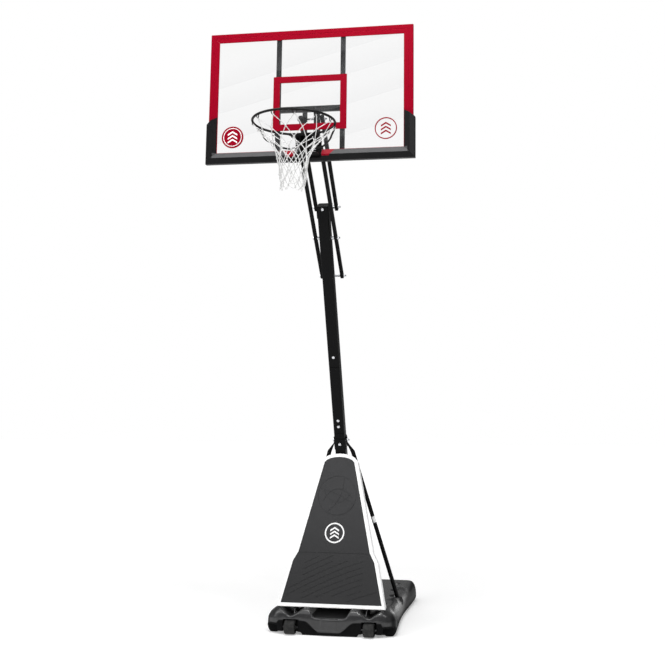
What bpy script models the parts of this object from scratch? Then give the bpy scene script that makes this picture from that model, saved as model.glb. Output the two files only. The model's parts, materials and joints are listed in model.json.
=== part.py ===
"""A portable basketball stand, built as it comes apart on a bench.

A water-filled tank on two wheels carries a leaning square pole, two stays and a front shroud. Two pairs
of arms form a parallelogram that carries the board, and a notched bar behind the pole sets its height.
The rim is hinged on two springs, and a knotted net hangs from it.

Metres, +Z up. X runs across the board, the board faces -Y, and the origin is on the floor under the
middle of the tank.
"""
import math

import bmesh
import bpy
from mathutils import Matrix, Vector

# Fits
GAP = 0.0003
HOLE_PLAY = 0.0006
SWING_PLAY = 0.0015

# Tank
TANK_WIDTH = 0.872
TANK_LENGTH = 1.25
TANK_FRONT_HEIGHT = 0.168
TANK_REAR_HEIGHT = 0.150
TANK_REAR_CORNER = 0.060
TANK_FRONT_CORNER = 0.090
TANK_WAIST = 0.026
TANK_WAIST_Y = -0.050
TANK_WAIST_REACH = 0.70
TANK_FRONT_BOW = 0.022
FENDER_DEPTH = 0.165
FENDER_SLOPE = 0.130
FENDER_SHOULDER = 0.045
PARTING_HEIGHT = 0.036
VALLEY_HALF_WIDTH = 0.104
VALLEY_FLOOR = 0.112
VALLEY_DEPTH = 0.295
SCOOP_X = 0.256
SCOOP_FLOOR = 0.112
SCOOP_HALF_WIDTH = 0.088
SCOOP_DEPTH = 0.125
RIB_THICKNESS = 0.009
FOOT_X = 0.345
FOOT_SET_BACK = 0.075
FOOT_UNDERSIDE = 0.060
CHIN_HALF = 0.184
CHEEK_HEIGHT = 0.018
CHEEK_NOTCH_DEPTH = 0.105
TANK_GROOVE_HALF = 0.170
TANK_GROOVE_WIDTH = 0.032
TANK_GROOVES_FROM_REAR = (0.303, 0.210, 0.117)
FILLER_X = -0.270
FILLER_FROM_REAR = 0.295
FILLER_RADIUS = 0.024

# Wheels
WHEEL_RADIUS = 0.044
WHEEL_WIDTH = 0.070
WHEEL_X = 0.259
WHEEL_SET_BACK = 0.025
WHEEL_FLOOR_GAP = 0.0025
AXLE_RADIUS = 0.006
POCKET_PLAY = 0.012

# Pole
POLE_WIDTH = 0.074
POLE_WALL = 0.0025
POLE_CORNER = 0.009
POLE_LEAN = math.radians(24.0)
POLE_FOOT_Y = 0.2424
POLE_FOOT_HEIGHT = 0.034
LOWER_JOINT_HEIGHT = 1.300
UPPER_JOINT_HEIGHT = 1.745
POLE_TOP_DROP = 0.008
NECK_LENGTH = 0.110
JOINT_BOLT_RISE = 0.063
JOINT_BOLT_HIGH = 0.084
JOINT_BOLT_LOW = 0.043
CAP_SPIGOT = 0.008
FOOT_COLLAR_HEIGHT = 0.060
FOOT_COLLAR_WALL = 0.006

# Bolts
BOLT_RADIUS = 0.005
PIVOT_RADIUS = 0.006
HEX_RADIUS = 0.011
HEX_HEIGHT = 0.007
DOME_RADIUS = 0.0105
DOME_HEIGHT = 0.005

# Stays
STAY_RADIUS = 0.0145
STAY_FOOT_X = 0.363
STAY_FOOT_Y = -0.017
STAY_TOP_X = 0.068
STAY_TOP_BELOW_JOINT = 0.078
STAY_TAB_THICKNESS = 0.006
STAY_TAB_LENGTH = 0.055
STAY_BOLT_RISE = 0.018
STAY_SOCKET_DEPTH = 0.055
STAY_BOWL_RADIUS = 0.042
STAY_BOWL_FLOOR_RADIUS = 0.022
STAY_BOWL_DEPTH = 0.026
STAY_BOWL_SHIFT = 0.013
CLAMP_HEIGHT = 0.080
CLAMP_WALL = 0.004

# Shroud
SHROUD_SET_BACK = 0.051
SHROUD_BELOW_CLAMP = 0.077
SHROUD_POLE_GAP = 0.0182
SHROUD_FOOT_HALF = 0.360
SHROUD_KNEE_LOW = (0.299, 0.290)
SHROUD_KNEE_HIGH = (0.266, 0.350)
SHROUD_HEAD_HALF = 0.134
SHROUD_HEAD_DROP = 0.085
SHROUD_BORDER = 0.024
SHROUD_WALL = 0.004
SHROUD_DEPTH = 0.070
SHROUD_NOTCH_HALF = 0.126
SHROUD_NOTCH_LENGTH = 0.185
PANEL_RECESS = 0.003
CREASE_UP = 0.345
GROOVE_WIDTH = 0.005
GROOVE_DEPTH = 0.0015
GROOVE_COUNT = 12
GROOVE_SPACING = 0.037
BALL_DOWN = 0.289
BALL_RADIUS = 0.132
BALL_STEPS = 28

# Lift
RIM_HEIGHT = 3.050
ARM_LENGTH = 0.642
ARM_ANGLE = math.radians(44.25)
PIVOT_SPACING = 0.205
TAIL_LENGTH = 0.311
ARM_WIDTH = 0.022
ARM_DEPTH = 0.030
ARM_WALL = 0.002
LONG_ARM_BOARD_X = 0.066
LONG_ARM_TAIL_X = 0.068
SHORT_ARM_X = 0.068
ARM_END = 0.020
ARM_TAIL_END = 0.011
LIFT_TRAVEL = math.radians(73.35)
BRACKET_WALL = 0.003
BRACKET_HEIGHT = 0.074
BRACKET_TOP_GAP = 0.004
BRACKET_BOLT_DROP = 0.0145
COLLAR_RADIUS = 0.011
BOARD_COLLAR_RADIUS = 0.010
TAIL_COLLAR_RADIUS = 0.0078
BOARD_PIVOT_DROP = 0.047
BOARD_STANDOFF = 0.060

# Height lock
LOCK_BELOW_JOINT = 0.045
LOCK_GUIDE_HALF = 0.030
LOCK_GUIDE_FLANGE = 0.030
LOCK_PIN_RADIUS = 0.005
LOCK_BAR_FRONT = 0.004
LOCK_BAR_BACK = 0.028
LOCK_BAR_THICKNESS = 0.006
LOCK_SETTINGS = 6
LOCK_GRIP_LENGTH = 0.125
LOCK_GRIP_RADIUS = 0.016
LOCK_CHEEK_X = 0.007

# Board
BOARD_WIDTH = 1.266
BOARD_ABOVE_RIM = 0.707
BOARD_BELOW_RIM = 0.110
SHEET_THICKNESS = 0.005
TRIM_WIDTH = 0.057
TRIM_THICKNESS = 0.0035
TRIM_SIDE = 0.0025
FRAME_TUBE = 0.025
FRAME_WALL = 0.0016
UPRIGHT_X = 0.2005
UPRIGHT_WIDTH = 0.028
CROSSBAR_ABOVE_RIM = 0.208
CROSSBAR_WIDTH = 0.034
HINGE_PLATE_X = 0.0485
HINGE_PLATE_WALL = 0.004

# Bumper
BUMPER_BAND = 0.066
BUMPER_OVERLAP = 0.012
BUMPER_RIDGE = 0.032
BUMPER_STANDS_OUT = 0.026
BUMPER_WRAP = 0.024
BUMPER_ABOVE_RIM = 0.172
BUMPER_TOP_SLANT = 0.045
BUMPER_JOINT_X = 0.190
BUMPER_CENTRE_DROP = 0.002

# Rim
RIM_INNER_RADIUS = 0.225
RIM_ROD_RADIUS = 0.007
RIM_REACH = 0.151
RIM_STEPS = 48
RIM_HINGE_OUT = 0.036
RIM_HINGE_RISE = 0.004
RIM_PLATE_HALF = 0.080
RIM_PLATE_WALL = 0.005
RIM_PLATE_ABOVE = 0.020
RIM_PLATE_BELOW = 0.106
RIM_EAR_X = 0.066
RIM_EAR_WALL = 0.006
RIM_EAR_GAP = 0.003
BARREL_RADIUS = 0.010
TOP_PLATE_HALF = 0.058
GUSSET_X = 0.024
GUSSET_OUT = 0.118
GUSSET_DROP = 0.072
GUSSET_WALL = 0.004
BRACE_ROD_RADIUS = 0.0055
SPRING_X = 0.052
SPRING_OUT = 0.074
SPRING_RADIUS = 0.0105
SPRING_WIRE = 0.0017
SPRING_CURLS = 5
SPRING_SEAT_BELOW = 0.0915
SPRING_TOP_BELOW = 0.0125
SHELF_WALL = 0.004
HOOK_COUNT = 12
HOOK_RADIUS = 0.0028
HOOK_DROP = 0.020
HOOK_INSET = 0.002
HOOK_HALF_WIDTH = 0.012

# Net
NET_LENGTH = 0.370
NET_KNOT_RISE = 0.0012
NET_NECK_RADIUS = 0.086
NET_NECK_SHARE = 0.58
NET_BOTTOM_RADIUS = 0.078
NET_ROWS = 8
NET_CORD = 0.0045

# Places that follow from the sizes above
X_AXIS = Vector((1.0, 0.0, 0.0))
Y_AXIS = Vector((0.0, 1.0, 0.0))
Z_AXIS = Vector((0.0, 0.0, 1.0))
TANK_FRONT = -TANK_LENGTH / 2
TANK_REAR = TANK_LENGTH / 2
WHEEL_Y = TANK_FRONT + WHEEL_SET_BACK
WHEEL_CENTRE_HEIGHT = WHEEL_RADIUS + WHEEL_FLOOR_GAP
POLE_UP = Vector((0.0, -math.sin(POLE_LEAN), math.cos(POLE_LEAN)))
POLE_BACK = Vector((0.0, math.cos(POLE_LEAN), math.sin(POLE_LEAN)))
LIFT_HEIGHT = RIM_HEIGHT - BOARD_PIVOT_DROP - ARM_LENGTH * math.sin(ARM_ANGLE)
LIFT_Y = POLE_FOOT_Y - (LIFT_HEIGHT - POLE_FOOT_HEIGHT) * math.tan(POLE_LEAN)
LIFT_PIVOT = Vector((0.0, LIFT_Y, LIFT_HEIGHT))
UPPER_PIVOT = LIFT_PIVOT + PIVOT_SPACING * Z_AXIS
POLE_TOP_HEIGHT = UPPER_PIVOT.z - POLE_TOP_DROP
ARM_FORWARD = Vector((0.0, -math.cos(ARM_ANGLE), math.sin(ARM_ANGLE)))
BOARD_PIVOT = LIFT_PIVOT + ARM_LENGTH * ARM_FORWARD
BOARD_UPPER_PIVOT = UPPER_PIVOT + ARM_LENGTH * ARM_FORWARD
TAIL_PIVOT = LIFT_PIVOT - TAIL_LENGTH * ARM_FORWARD
PIVOT_DRILL = max(LONG_ARM_BOARD_X, LONG_ARM_TAIL_X, SHORT_ARM_X) + 2 * ARM_WIDTH
STAY_TOP_HEIGHT = LOWER_JOINT_HEIGHT - STAY_TOP_BELOW_JOINT
LOCK_GUIDE_RUN = (UPPER_JOINT_HEIGHT - LOCK_BELOW_JOINT - LIFT_HEIGHT) / POLE_UP.z
LOCK_HANG = (TAIL_PIVOT - LIFT_PIVOT).dot(POLE_UP) - LOCK_GUIDE_RUN
LOCK_PIN = TAIL_PIVOT - LOCK_HANG * POLE_UP
SHROUD_TOP_HEIGHT = STAY_TOP_HEIGHT - SHROUD_BELOW_CLAMP
SHROUD_BOTTOM_Y = TANK_FRONT + SHROUD_SET_BACK
SHROUD_TOP_Y = (POLE_FOOT_Y - (SHROUD_TOP_HEIGHT - POLE_FOOT_HEIGHT) * math.tan(POLE_LEAN)
                - POLE_WIDTH / 2 / math.cos(POLE_LEAN) - SHROUD_POLE_GAP)
FILLER_PLACE = Vector((FILLER_X, TANK_REAR - FILLER_FROM_REAR, 0.0))
BOARD_FACE_Y = BOARD_PIVOT.y - BOARD_STANDOFF
BOARD_TOP = RIM_HEIGHT + BOARD_ABOVE_RIM
BOARD_BOTTOM = RIM_HEIGHT - BOARD_BELOW_RIM
CROSSBAR_HEIGHT = RIM_HEIGHT + CROSSBAR_ABOVE_RIM
BUMPER_TOP = RIM_HEIGHT + BUMPER_ABOVE_RIM
RIM_CENTRE_RADIUS = RIM_INNER_RADIUS + RIM_ROD_RADIUS
RIM_CENTRE = Vector((0.0, BOARD_FACE_Y - RIM_REACH - RIM_INNER_RADIUS, RIM_HEIGHT))
RIM_HINGE = Vector((0.0, BOARD_FACE_Y - RIM_HINGE_OUT, RIM_HEIGHT + RIM_HINGE_RISE))
BARREL_HALF = RIM_EAR_X - RIM_EAR_WALL / 2 - RIM_EAR_GAP
SPRING_Y = BOARD_FACE_Y - SPRING_OUT
SPRING_BOTTOM = RIM_HEIGHT - SPRING_SEAT_BELOW
SPRING_TOP = RIM_HEIGHT - SPRING_TOP_BELOW
GUSSET_FRONT_Y = BOARD_FACE_Y - GUSSET_OUT


def clear_scene():
    for old in list(bpy.data.objects):
        bpy.data.objects.remove(old, do_unlink=True)


# Materials

def make_material(name, colour, roughness, metallic=0.0, alpha=1.0):
    material = bpy.data.materials.new(name)
    material.use_nodes = True
    shader = material.node_tree.nodes["Principled BSDF"]
    shader.inputs["Base Color"].default_value = (*colour, 1.0)
    shader.inputs["Roughness"].default_value = roughness
    shader.inputs["Metallic"].default_value = metallic
    shader.inputs["Alpha"].default_value = alpha
    return material


def make_materials():
    return {
        "tank_plastic": make_material("tank_plastic", (0.035, 0.035, 0.037), 0.38),
        "black_paint": make_material("black_paint", (0.012, 0.012, 0.013), 0.32, 0.2),
        "zinc": make_material("zinc", (0.62, 0.63, 0.65), 0.28, 1.0),
        "white_shell": make_material("white_shell", (0.86, 0.86, 0.86), 0.30),
        "grey_panel": make_material("grey_panel", (0.060, 0.060, 0.062), 0.55),
        "black_plastic": make_material("black_plastic", (0.020, 0.020, 0.021), 0.45),
        "rubber": make_material("rubber", (0.018, 0.018, 0.018), 0.80),
        "clear_sheet": make_material("clear_sheet", (0.93, 0.95, 0.96), 0.05, 0.0, 0.25),
        "red_trim": make_material("red_trim", (0.39, 0.0, 0.016), 0.35),
        "bumper_pad": make_material("bumper_pad", (0.050, 0.050, 0.052), 0.50),
        "rim_paint": make_material("rim_paint", (0.010, 0.010, 0.010), 0.30, 0.3),
        "net_cord": make_material("net_cord", (0.85, 0.85, 0.83), 0.85),
    }


# Shapes

def frame_at(origin, along, side=X_AXIS):
    """Return a function that places (across, back, along) in the world."""
    direction = along.normalized()
    back = direction.cross(side).normalized()
    across = back.cross(direction).normalized()

    def place(u, v, w):
        return origin + u * across + v * back + w * direction

    return place


def loft(bm, rings, closed=False):
    """Join rings of equal count with quads, and cap the two ends unless the loft closes on itself."""
    rows = [[bm.verts.new(point) for point in ring] for ring in rings]
    count = len(rows[0])
    pairs = list(zip(rows, rows[1:]))
    if closed:
        pairs.append((rows[-1], rows[0]))
    for row, following in pairs:
        for i in range(count):
            j = (i + 1) % count
            bm.faces.new((row[i], row[j], following[j], following[i]))
    if not closed:
        bm.faces.new(rows[0])
        bm.faces.new(rows[-1])


def finish(name, bm, material, sharp_angle=35.0):
    """Turn a bmesh into a named object with its faces pointing out."""
    bmesh.ops.recalc_face_normals(bm, faces=bm.faces)
    mesh = bpy.data.meshes.new(name)
    bm.to_mesh(mesh)
    bm.free()
    mesh.materials.append(material)
    mesh.shade_smooth()
    mesh.set_sharp_from_angle(angle=math.radians(sharp_angle))
    obj = bpy.data.objects.new(name, mesh)
    bpy.context.scene.collection.objects.link(obj)
    return obj


def lofted(name, rings, material, closed=False, sharp_angle=35.0):
    bm = bmesh.new()
    loft(bm, rings, closed)
    return finish(name, bm, material, sharp_angle)


def circle(radius, count, turn=0.0):
    return [(radius * math.cos(turn + math.tau * i / count), radius * math.sin(turn + math.tau * i / count))
            for i in range(count)]


def hexagon(radius):
    """Twelve points: six corners, and the middle of each side between them."""
    flat = radius * math.cos(math.pi / 6)
    return [((radius if i % 2 == 0 else flat) * math.cos(math.tau * i / 12),
             (radius if i % 2 == 0 else flat) * math.sin(math.tau * i / 12)) for i in range(12)]


def rounded_rectangle(width, depth, radius, steps=3):
    points = []
    for quarter, (sx, sy) in enumerate(((1, 1), (-1, 1), (-1, -1), (1, -1))):
        cx = sx * (width / 2 - radius)
        cy = sy * (depth / 2 - radius)
        for step in range(steps + 1):
            angle = (quarter + step / steps) * math.pi / 2
            points.append((cx + radius * math.cos(angle), cy + radius * math.sin(angle)))
    return points


def rounded_corners(outline, radii, steps=4):
    """Replace each corner of an outline by an arc of its own radius."""
    points = []
    count = len(outline)
    for i in range(count):
        corner = Vector(outline[i])
        before = (Vector(outline[i - 1]) - corner).normalized()
        after = (Vector(outline[(i + 1) % count]) - corner).normalized()
        radius = radii[i]
        if radius <= 0.0:
            points.append(tuple(corner))
            continue
        half = before.angle(after) / 2
        reach = radius / math.tan(half)
        centre = corner + (before + after).normalized() * (radius / math.sin(half))
        start = corner + before * reach - centre
        end = corner + after * reach - centre
        turn = start.angle_signed(end)
        for step in range(steps + 1):
            angle = -turn * step / steps
            points.append(tuple(centre + Matrix.Rotation(angle, 2) @ start))
    return points


def extruded(name, outline, low, high, place, material, sharp_angle=35.0):
    """Extrude an outline between two distances along the place's third direction."""
    rings = [[place(u, v, w) for u, v in outline] for w in (low, high)]
    return lofted(name, rings, material, sharp_angle=sharp_angle)


def world(u, v, w):
    return Vector((u, v, w))


def side_on(u, v, w):
    """Outline in Y and Z, extruded along X."""
    return Vector((w, u, v))


def front_on(u, v, w):
    """Outline in X and Z, extruded along Y."""
    return Vector((u, w, v))


def hollow_tube(name, width, depth, corner, wall, start, end, side, material):
    """A rectangular tube, open at both ends, from start to end."""
    length = (end - start).length
    place = frame_at(start, end - start, side)
    outer = rounded_rectangle(width, depth, corner)
    inner = rounded_rectangle(width - 2 * wall, depth - 2 * wall, max(corner - wall, 0.0004))
    rings = [[place(u, v, w) for u, v in profile]
             for profile, w in ((outer, 0.0), (outer, length), (inner, length), (inner, 0.0))]
    return lofted(name, rings, material, closed=True)


def turned(name, profile, place, count, material, closed=False, sharp_angle=35.0):
    """A turned piece: the profile is a list of (radius, distance along the axis)."""
    rings = [[place(u, v, w) for u, v in circle(radius, count)] for radius, w in profile]
    return lofted(name, rings, material, closed, sharp_angle)


def cutter_settings(obj):
    obj.hide_render = True
    obj.display_type = "WIRE"
    return obj


def boolean(obj, tool, operation="DIFFERENCE"):
    modifier = obj.modifiers.new(tool.name, "BOOLEAN")
    modifier.operation = operation
    modifier.solver = "EXACT"
    modifier.object = tool
    cutter_settings(tool)


def drill(objects, centre, along, radius, length, count=16, side=X_AXIS):
    """Cut one straight hole through several objects."""
    place = frame_at(centre - along.normalized() * length / 2, along, side)
    profile = [(radius, 0.0), (radius, length)]
    tool = turned(f"hole_{objects[0].name}_{len(bpy.data.objects)}", profile, place, count,
                  objects[0].data.materials[0])
    for obj in objects:
        boolean(obj, tool)


def hex_bolt(name, centre, along, grip, radius, material, side=X_AXIS, collar=None):
    """A bolt with a hexagon head and nut outside a grip length, and an optional collar on its middle."""
    place = frame_at(centre, along, side)
    half = grip / 2
    end = half + HEX_HEIGHT
    tip = end + 0.004
    sections = [(hexagon(HEX_RADIUS * 0.86), -end), (hexagon(HEX_RADIUS), -end + 0.0015),
                (hexagon(HEX_RADIUS), -half), (circle(radius, 12), -half)]
    if collar:
        collar_radius, from_x, to_x = collar
        sections += [(circle(radius, 12), -to_x), (circle(collar_radius, 12), -to_x),
                     (circle(collar_radius, 12), -from_x), (circle(radius, 12), -from_x),
                     (circle(radius, 12), from_x), (circle(collar_radius, 12), from_x),
                     (circle(collar_radius, 12), to_x), (circle(radius, 12), to_x)]
    sections += [(circle(radius, 12), half), (hexagon(HEX_RADIUS), half),
                 (hexagon(HEX_RADIUS), end - 0.0015), (hexagon(HEX_RADIUS * 0.86), end),
                 (circle(radius, 12), end), (circle(radius * 0.8, 12), tip)]
    rings = [[place(u, v, w) for u, v in outline] for outline, w in sections]
    return lofted(name, rings, material)


def carriage_bolt(name, centre, along, grip, material):
    """A domed head at the start of the grip, and a nut at its end."""
    place = frame_at(centre, along)
    half = grip / 2
    dome = [(DOME_RADIUS * math.cos(math.radians(a)), -half - DOME_HEIGHT * math.sin(math.radians(a)))
            for a in (78, 52, 26, 0)]
    sections = [(circle(r, 12), w) for r, w in dome]
    sections += [(circle(BOLT_RADIUS, 12), -half), (circle(BOLT_RADIUS, 12), half),
                 (hexagon(HEX_RADIUS), half), (hexagon(HEX_RADIUS), half + HEX_HEIGHT),
                 (circle(BOLT_RADIUS, 12), half + HEX_HEIGHT), (circle(BOLT_RADIUS * 0.8, 12), half + 0.012)]
    rings = [[place(u, v, w) for u, v in outline] for outline, w in sections]
    return lofted(name, rings, material)


def swept_tube(points, radius, count, closed=False):
    """Rings of a round tube along a list of points, carried without twist."""
    total = len(points)
    tangents = []
    for i in range(total):
        if closed:
            tangent = points[(i + 1) % total] - points[i - 1]
        else:
            tangent = points[min(i + 1, total - 1)] - points[max(i - 1, 0)]
        tangents.append(tangent.normalized())
    across = tangents[0].orthogonal().normalized()
    rings = []
    for i in range(total):
        across = (across - tangents[i] * across.dot(tangents[i])).normalized()
        up = tangents[i].cross(across)
        rings.append([points[i] + u * across + v * up for u, v in circle(radius, count)])
    return rings


def smooth_curve(stations, steps):
    """Points on a Catmull-Rom curve through the stations, ends included."""
    points = []
    for i in range(len(stations) - 1):
        p0 = stations[max(i - 1, 0)]
        p1 = stations[i]
        p2 = stations[i + 1]
        p3 = stations[min(i + 2, len(stations) - 1)]
        for step in range(steps):
            t = step / steps
            points.append(0.5 * (2 * p1 + (p2 - p0) * t + (2 * p0 - 5 * p1 + 4 * p2 - p3) * t * t
                                 + (3 * p1 - p0 - 3 * p2 + p3) * t ** 3))
    points.append(stations[-1])
    return points


# Tank

def behind_fenders(y):
    """0 along the fenders at the front, 1 behind them, and smooth between."""
    t = min(max((y - TANK_FRONT - FENDER_DEPTH) / FENDER_SLOPE, 0.0), 1.0)
    return t * t * (3 - 2 * t)


def tank_top(y):
    """Height of the tank's top: level at the back, and higher where the shroud stands in front."""
    return TANK_FRONT_HEIGHT + (TANK_REAR_HEIGHT - TANK_FRONT_HEIGHT) * behind_fenders(y)


def tank_ring(inset, height_share):
    """One level of the tank: a rounded rectangle, drawn in at its waist and round its fenders' shoulders."""
    half_width = TANK_WIDTH / 2 - inset
    half_length = TANK_LENGTH / 2 - inset
    least_corner = 0.025
    corner_steps = 5
    side_steps = 10
    points = []
    rear = max(TANK_REAR_CORNER - inset, least_corner)
    front = max(TANK_FRONT_CORNER - inset, least_corner)
    corners = [(1, 1, rear), (-1, 1, rear), (-1, -1, front), (1, -1, front)]
    for quarter, (sx, sy, corner) in enumerate(corners):
        cx = sx * (half_width - corner)
        cy = sy * (half_length - corner)
        for step in range(corner_steps + 1):
            angle = (quarter + step / corner_steps) * math.pi / 2
            points.append((cx + corner * math.cos(angle), cy + corner * math.sin(angle)))
        next_x, next_y, following = corners[(quarter + 1) % 4]
        along_x = next_x * (half_width - following)
        along_y = next_y * (half_length - following)
        target_x, target_y = ((along_x, half_length), (-half_width, along_y),
                              (along_x, -half_length), (half_width, along_y))[quarter]
        last_x, last_y = points[-1]
        for step in range(1, side_steps):
            t = step / side_steps
            points.append((last_x + (target_x - last_x) * t, last_y + (target_y - last_y) * t))
    shoulder = FENDER_SHOULDER * max(height_share - 0.70, 0.0) / 0.30
    ring = []
    for x, y in points:
        reach = min(abs(y - TANK_WAIST_Y) / TANK_WAIST_REACH, 1.0)
        waist = TANK_WAIST * math.cos(math.pi / 2 * reach) ** 2
        x *= 1.0 - (waist + shoulder * (1.0 - behind_fenders(y))) / (TANK_WIDTH / 2)
        if y < 0.0:
            y += TANK_FRONT_BOW * (x / half_width) ** 2 * min(-y / half_length, 1.0)
        ring.append(Vector((x, y, height_share * tank_top(y))))
    return ring


def tank_shell(material):
    parting = PARTING_HEIGHT / TANK_REAR_HEIGHT
    levels = [(0.020, 0.0), (0.007, 0.5 * parting), (0.0, parting), (0.003, 0.60), (0.008, 0.80),
              (0.018, 0.92), (0.032, 0.985), (0.052, 1.0), (0.115, 1.0), (0.300, 1.0)]
    rings = [tank_ring(inset, share) for inset, share in levels]
    return lofted("base_tank", rings, material, sharp_angle=30.0)


def cut_front_valley(tank, material):
    """The low middle of the tank's front, between the two fenders."""
    top = TANK_FRONT_HEIGHT + 0.03
    slope = 0.62
    rise = top - VALLEY_FLOOR
    half = VALLEY_HALF_WIDTH
    outline = rounded_corners([(-half, VALLEY_FLOOR), (half, VALLEY_FLOOR),
                               (half + slope * rise, top), (-half - slope * rise, top)],
                              (0.022, 0.022, 0.0, 0.0))
    tool = extruded("valley_cut", outline, -TANK_LENGTH, TANK_FRONT + VALLEY_DEPTH, front_on, material)
    boolean(tank, tool)


def cut_scoops(tank, material):
    """A V-shaped scoop in each fender, above the wheel, with a thin rib standing in it."""
    top = TANK_FRONT_HEIGHT + 0.03
    rise = top - SCOOP_FLOOR
    half = SCOOP_HALF_WIDTH * rise / (TANK_FRONT_HEIGHT - SCOOP_FLOOR)
    scoop_back = TANK_FRONT + SCOOP_DEPTH
    for side in (-1, 1):
        outline = rounded_corners([(side * SCOOP_X, SCOOP_FLOOR),
                                   (side * SCOOP_X + half, top), (side * SCOOP_X - half, top)],
                                  (0.030, 0.0, 0.0), steps=5)
        boolean(tank, extruded(f"scoop_cut_{side}", outline, -TANK_LENGTH, scoop_back, front_on, material))
        rib_x = side * (SCOOP_X - 0.018)
        rib_front = TANK_FRONT + 0.021
        rib_back = scoop_back + 0.010
        rib = [(rib_front, SCOOP_FLOOR - 0.02), (rib_back, SCOOP_FLOOR - 0.02),
               (rib_back, TANK_FRONT_HEIGHT - 0.002), (rib_front + 0.032, TANK_FRONT_HEIGHT - 0.010)]
        rib_solid = extruded(f"scoop_rib_{side}", rib, rib_x - RIB_THICKNESS / 2, rib_x + RIB_THICKNESS / 2,
                             side_on, material)
        boolean(tank, rib_solid, "UNION")


def cut_wheel_pockets(tank, material):
    """The arch in front of each wheel, the pocket that it turns in, and the feet set back beside it."""
    below = -0.02
    half = WHEEL_WIDTH / 2 + POCKET_PLAY
    crown = 2 * WHEEL_RADIUS + WHEEL_FLOOR_GAP + 0.005
    for side in (-1, 1):
        arch = [(side * x, z) for x, z in ((0.075, below), (0.075, 0.026), (0.165, crown - 0.006),
                                           (CHIN_HALF, crown), (0.310, crown),
                                           (FOOT_X - 0.006, FOOT_UNDERSIDE + 0.003),
                                           (FOOT_X + 0.006, FOOT_UNDERSIDE + 0.003), (FOOT_X + 0.006, below))]
        front = extruded(f"arch_cut_{side}", arch, -TANK_LENGTH, TANK_FRONT + 0.017, front_on, material)
        boolean(tank, front)
        foot = [(side * x, z) for x, z in ((FOOT_X, below), (FOOT_X, FOOT_UNDERSIDE),
                                           (TANK_WIDTH, FOOT_UNDERSIDE), (TANK_WIDTH, below))]
        foot_back = TANK_FRONT + FOOT_SET_BACK
        boolean(tank, extruded(f"foot_cut_{side}", foot, -TANK_LENGTH, foot_back, front_on, material))
        cheek = [(side * x, z) for x, z in ((CHIN_HALF, below), (CHIN_HALF, CHEEK_HEIGHT),
                                            (FOOT_X + 0.010, CHEEK_HEIGHT), (FOOT_X + 0.010, below))]
        cheek_back = TANK_FRONT + CHEEK_NOTCH_DEPTH
        boolean(tank, extruded(f"cheek_cut_{side}", cheek, -TANK_LENGTH, cheek_back, front_on, material))
        back = WHEEL_Y + WHEEL_RADIUS + POCKET_PLAY
        pocket = [(-TANK_LENGTH, below), (back, below), (back, 0.052), (back - 0.020, crown),
                  (-TANK_LENGTH, crown)]
        low_x = side * WHEEL_X - half
        inner = extruded(f"pocket_cut_{side}", pocket, low_x, low_x + 2 * half, side_on, material)
        boolean(tank, inner)


def add_front_panel(tank, material):
    """The raised plain panel in the middle of the front."""
    outline = rounded_corners([(-0.054, 0.040), (0.054, 0.040), (0.054, 0.108), (-0.054, 0.108)],
                              (0.006,) * 4, steps=2)
    panel = extruded("front_panel", outline, TANK_FRONT - 0.0015, TANK_FRONT + 0.030, front_on, material)
    boolean(tank, panel, "UNION")


def cut_tank_top(tank, material):
    """Pressed grooves across the back of the top, and kiss-off dimples along its sides."""
    half = TANK_GROOVE_HALF
    for number, from_rear in enumerate(TANK_GROOVES_FROM_REAR):
        low = TANK_REAR - from_rear - TANK_GROOVE_WIDTH / 2
        high = low + TANK_GROOVE_WIDTH
        outline = rounded_corners([(-half, low), (half, low), (half, high), (-half, high)],
                                  (0.47 * TANK_GROOVE_WIDTH,) * 4, steps=3)
        groove = extruded(f"groove_cut_{number}", outline, TANK_REAR_HEIGHT - 0.012, TANK_REAR_HEIGHT + 0.02,
                          world, material)
        boolean(tank, groove)
    for side in (-1, 1):
        for number, (x, y) in enumerate(((0.300, TANK_FRONT + 0.335), (0.318, TANK_REAR - 0.445),
                                         (0.300, TANK_REAR - 0.205))):
            place = frame_at(Vector((side * x, y, TANK_REAR_HEIGHT - 0.030)), Z_AXIS)
            profile = [(0.012, 0.0), (0.034, 0.034)]
            boolean(tank, turned(f"dimple_cut_{side}_{number}", profile, place, 16, material))


def cut_stay_sockets(tank, material):
    """A dished bowl in each shoulder of the tank, and the bore in it that takes the stay's foot."""
    spread = (STAY_BOWL_RADIUS - STAY_BOWL_FLOOR_RADIUS) / STAY_BOWL_DEPTH
    over = 0.010
    for side in (-1, 1):
        bowl_x = side * (STAY_FOOT_X - STAY_BOWL_SHIFT)
        floor = Vector((bowl_x, STAY_FOOT_Y, TANK_REAR_HEIGHT - STAY_BOWL_DEPTH))
        profile = [(STAY_BOWL_FLOOR_RADIUS, 0.0),
                   (STAY_BOWL_RADIUS + spread * over, STAY_BOWL_DEPTH + over)]
        bowl = turned(f"stay_bowl_cut_{side}", profile, frame_at(floor, Z_AXIS), 24, material)
        boolean(tank, bowl)
        top, foot = stay_line(side)
        along = (foot - top).normalized()
        bore_radius = STAY_RADIUS + HOLE_PLAY
        bore = turned(f"stay_bore_cut_{side}", [(bore_radius, -STAY_SOCKET_DEPTH),
                                                (bore_radius, STAY_SOCKET_DEPTH + GAP)],
                      frame_at(foot, along), 20, material)
        boolean(tank, bore)


def cut_pole_socket(tank, material):
    place = frame_at(pole_point(POLE_FOOT_HEIGHT - 0.004), POLE_UP)
    side = POLE_WIDTH + 2 * HOLE_PLAY
    outline = rounded_rectangle(side, side, POLE_CORNER)
    tool = extruded("pole_socket_cut", outline, 0.0, 2 * TANK_FRONT_HEIGHT, place, material)
    boolean(tank, tool)


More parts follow.
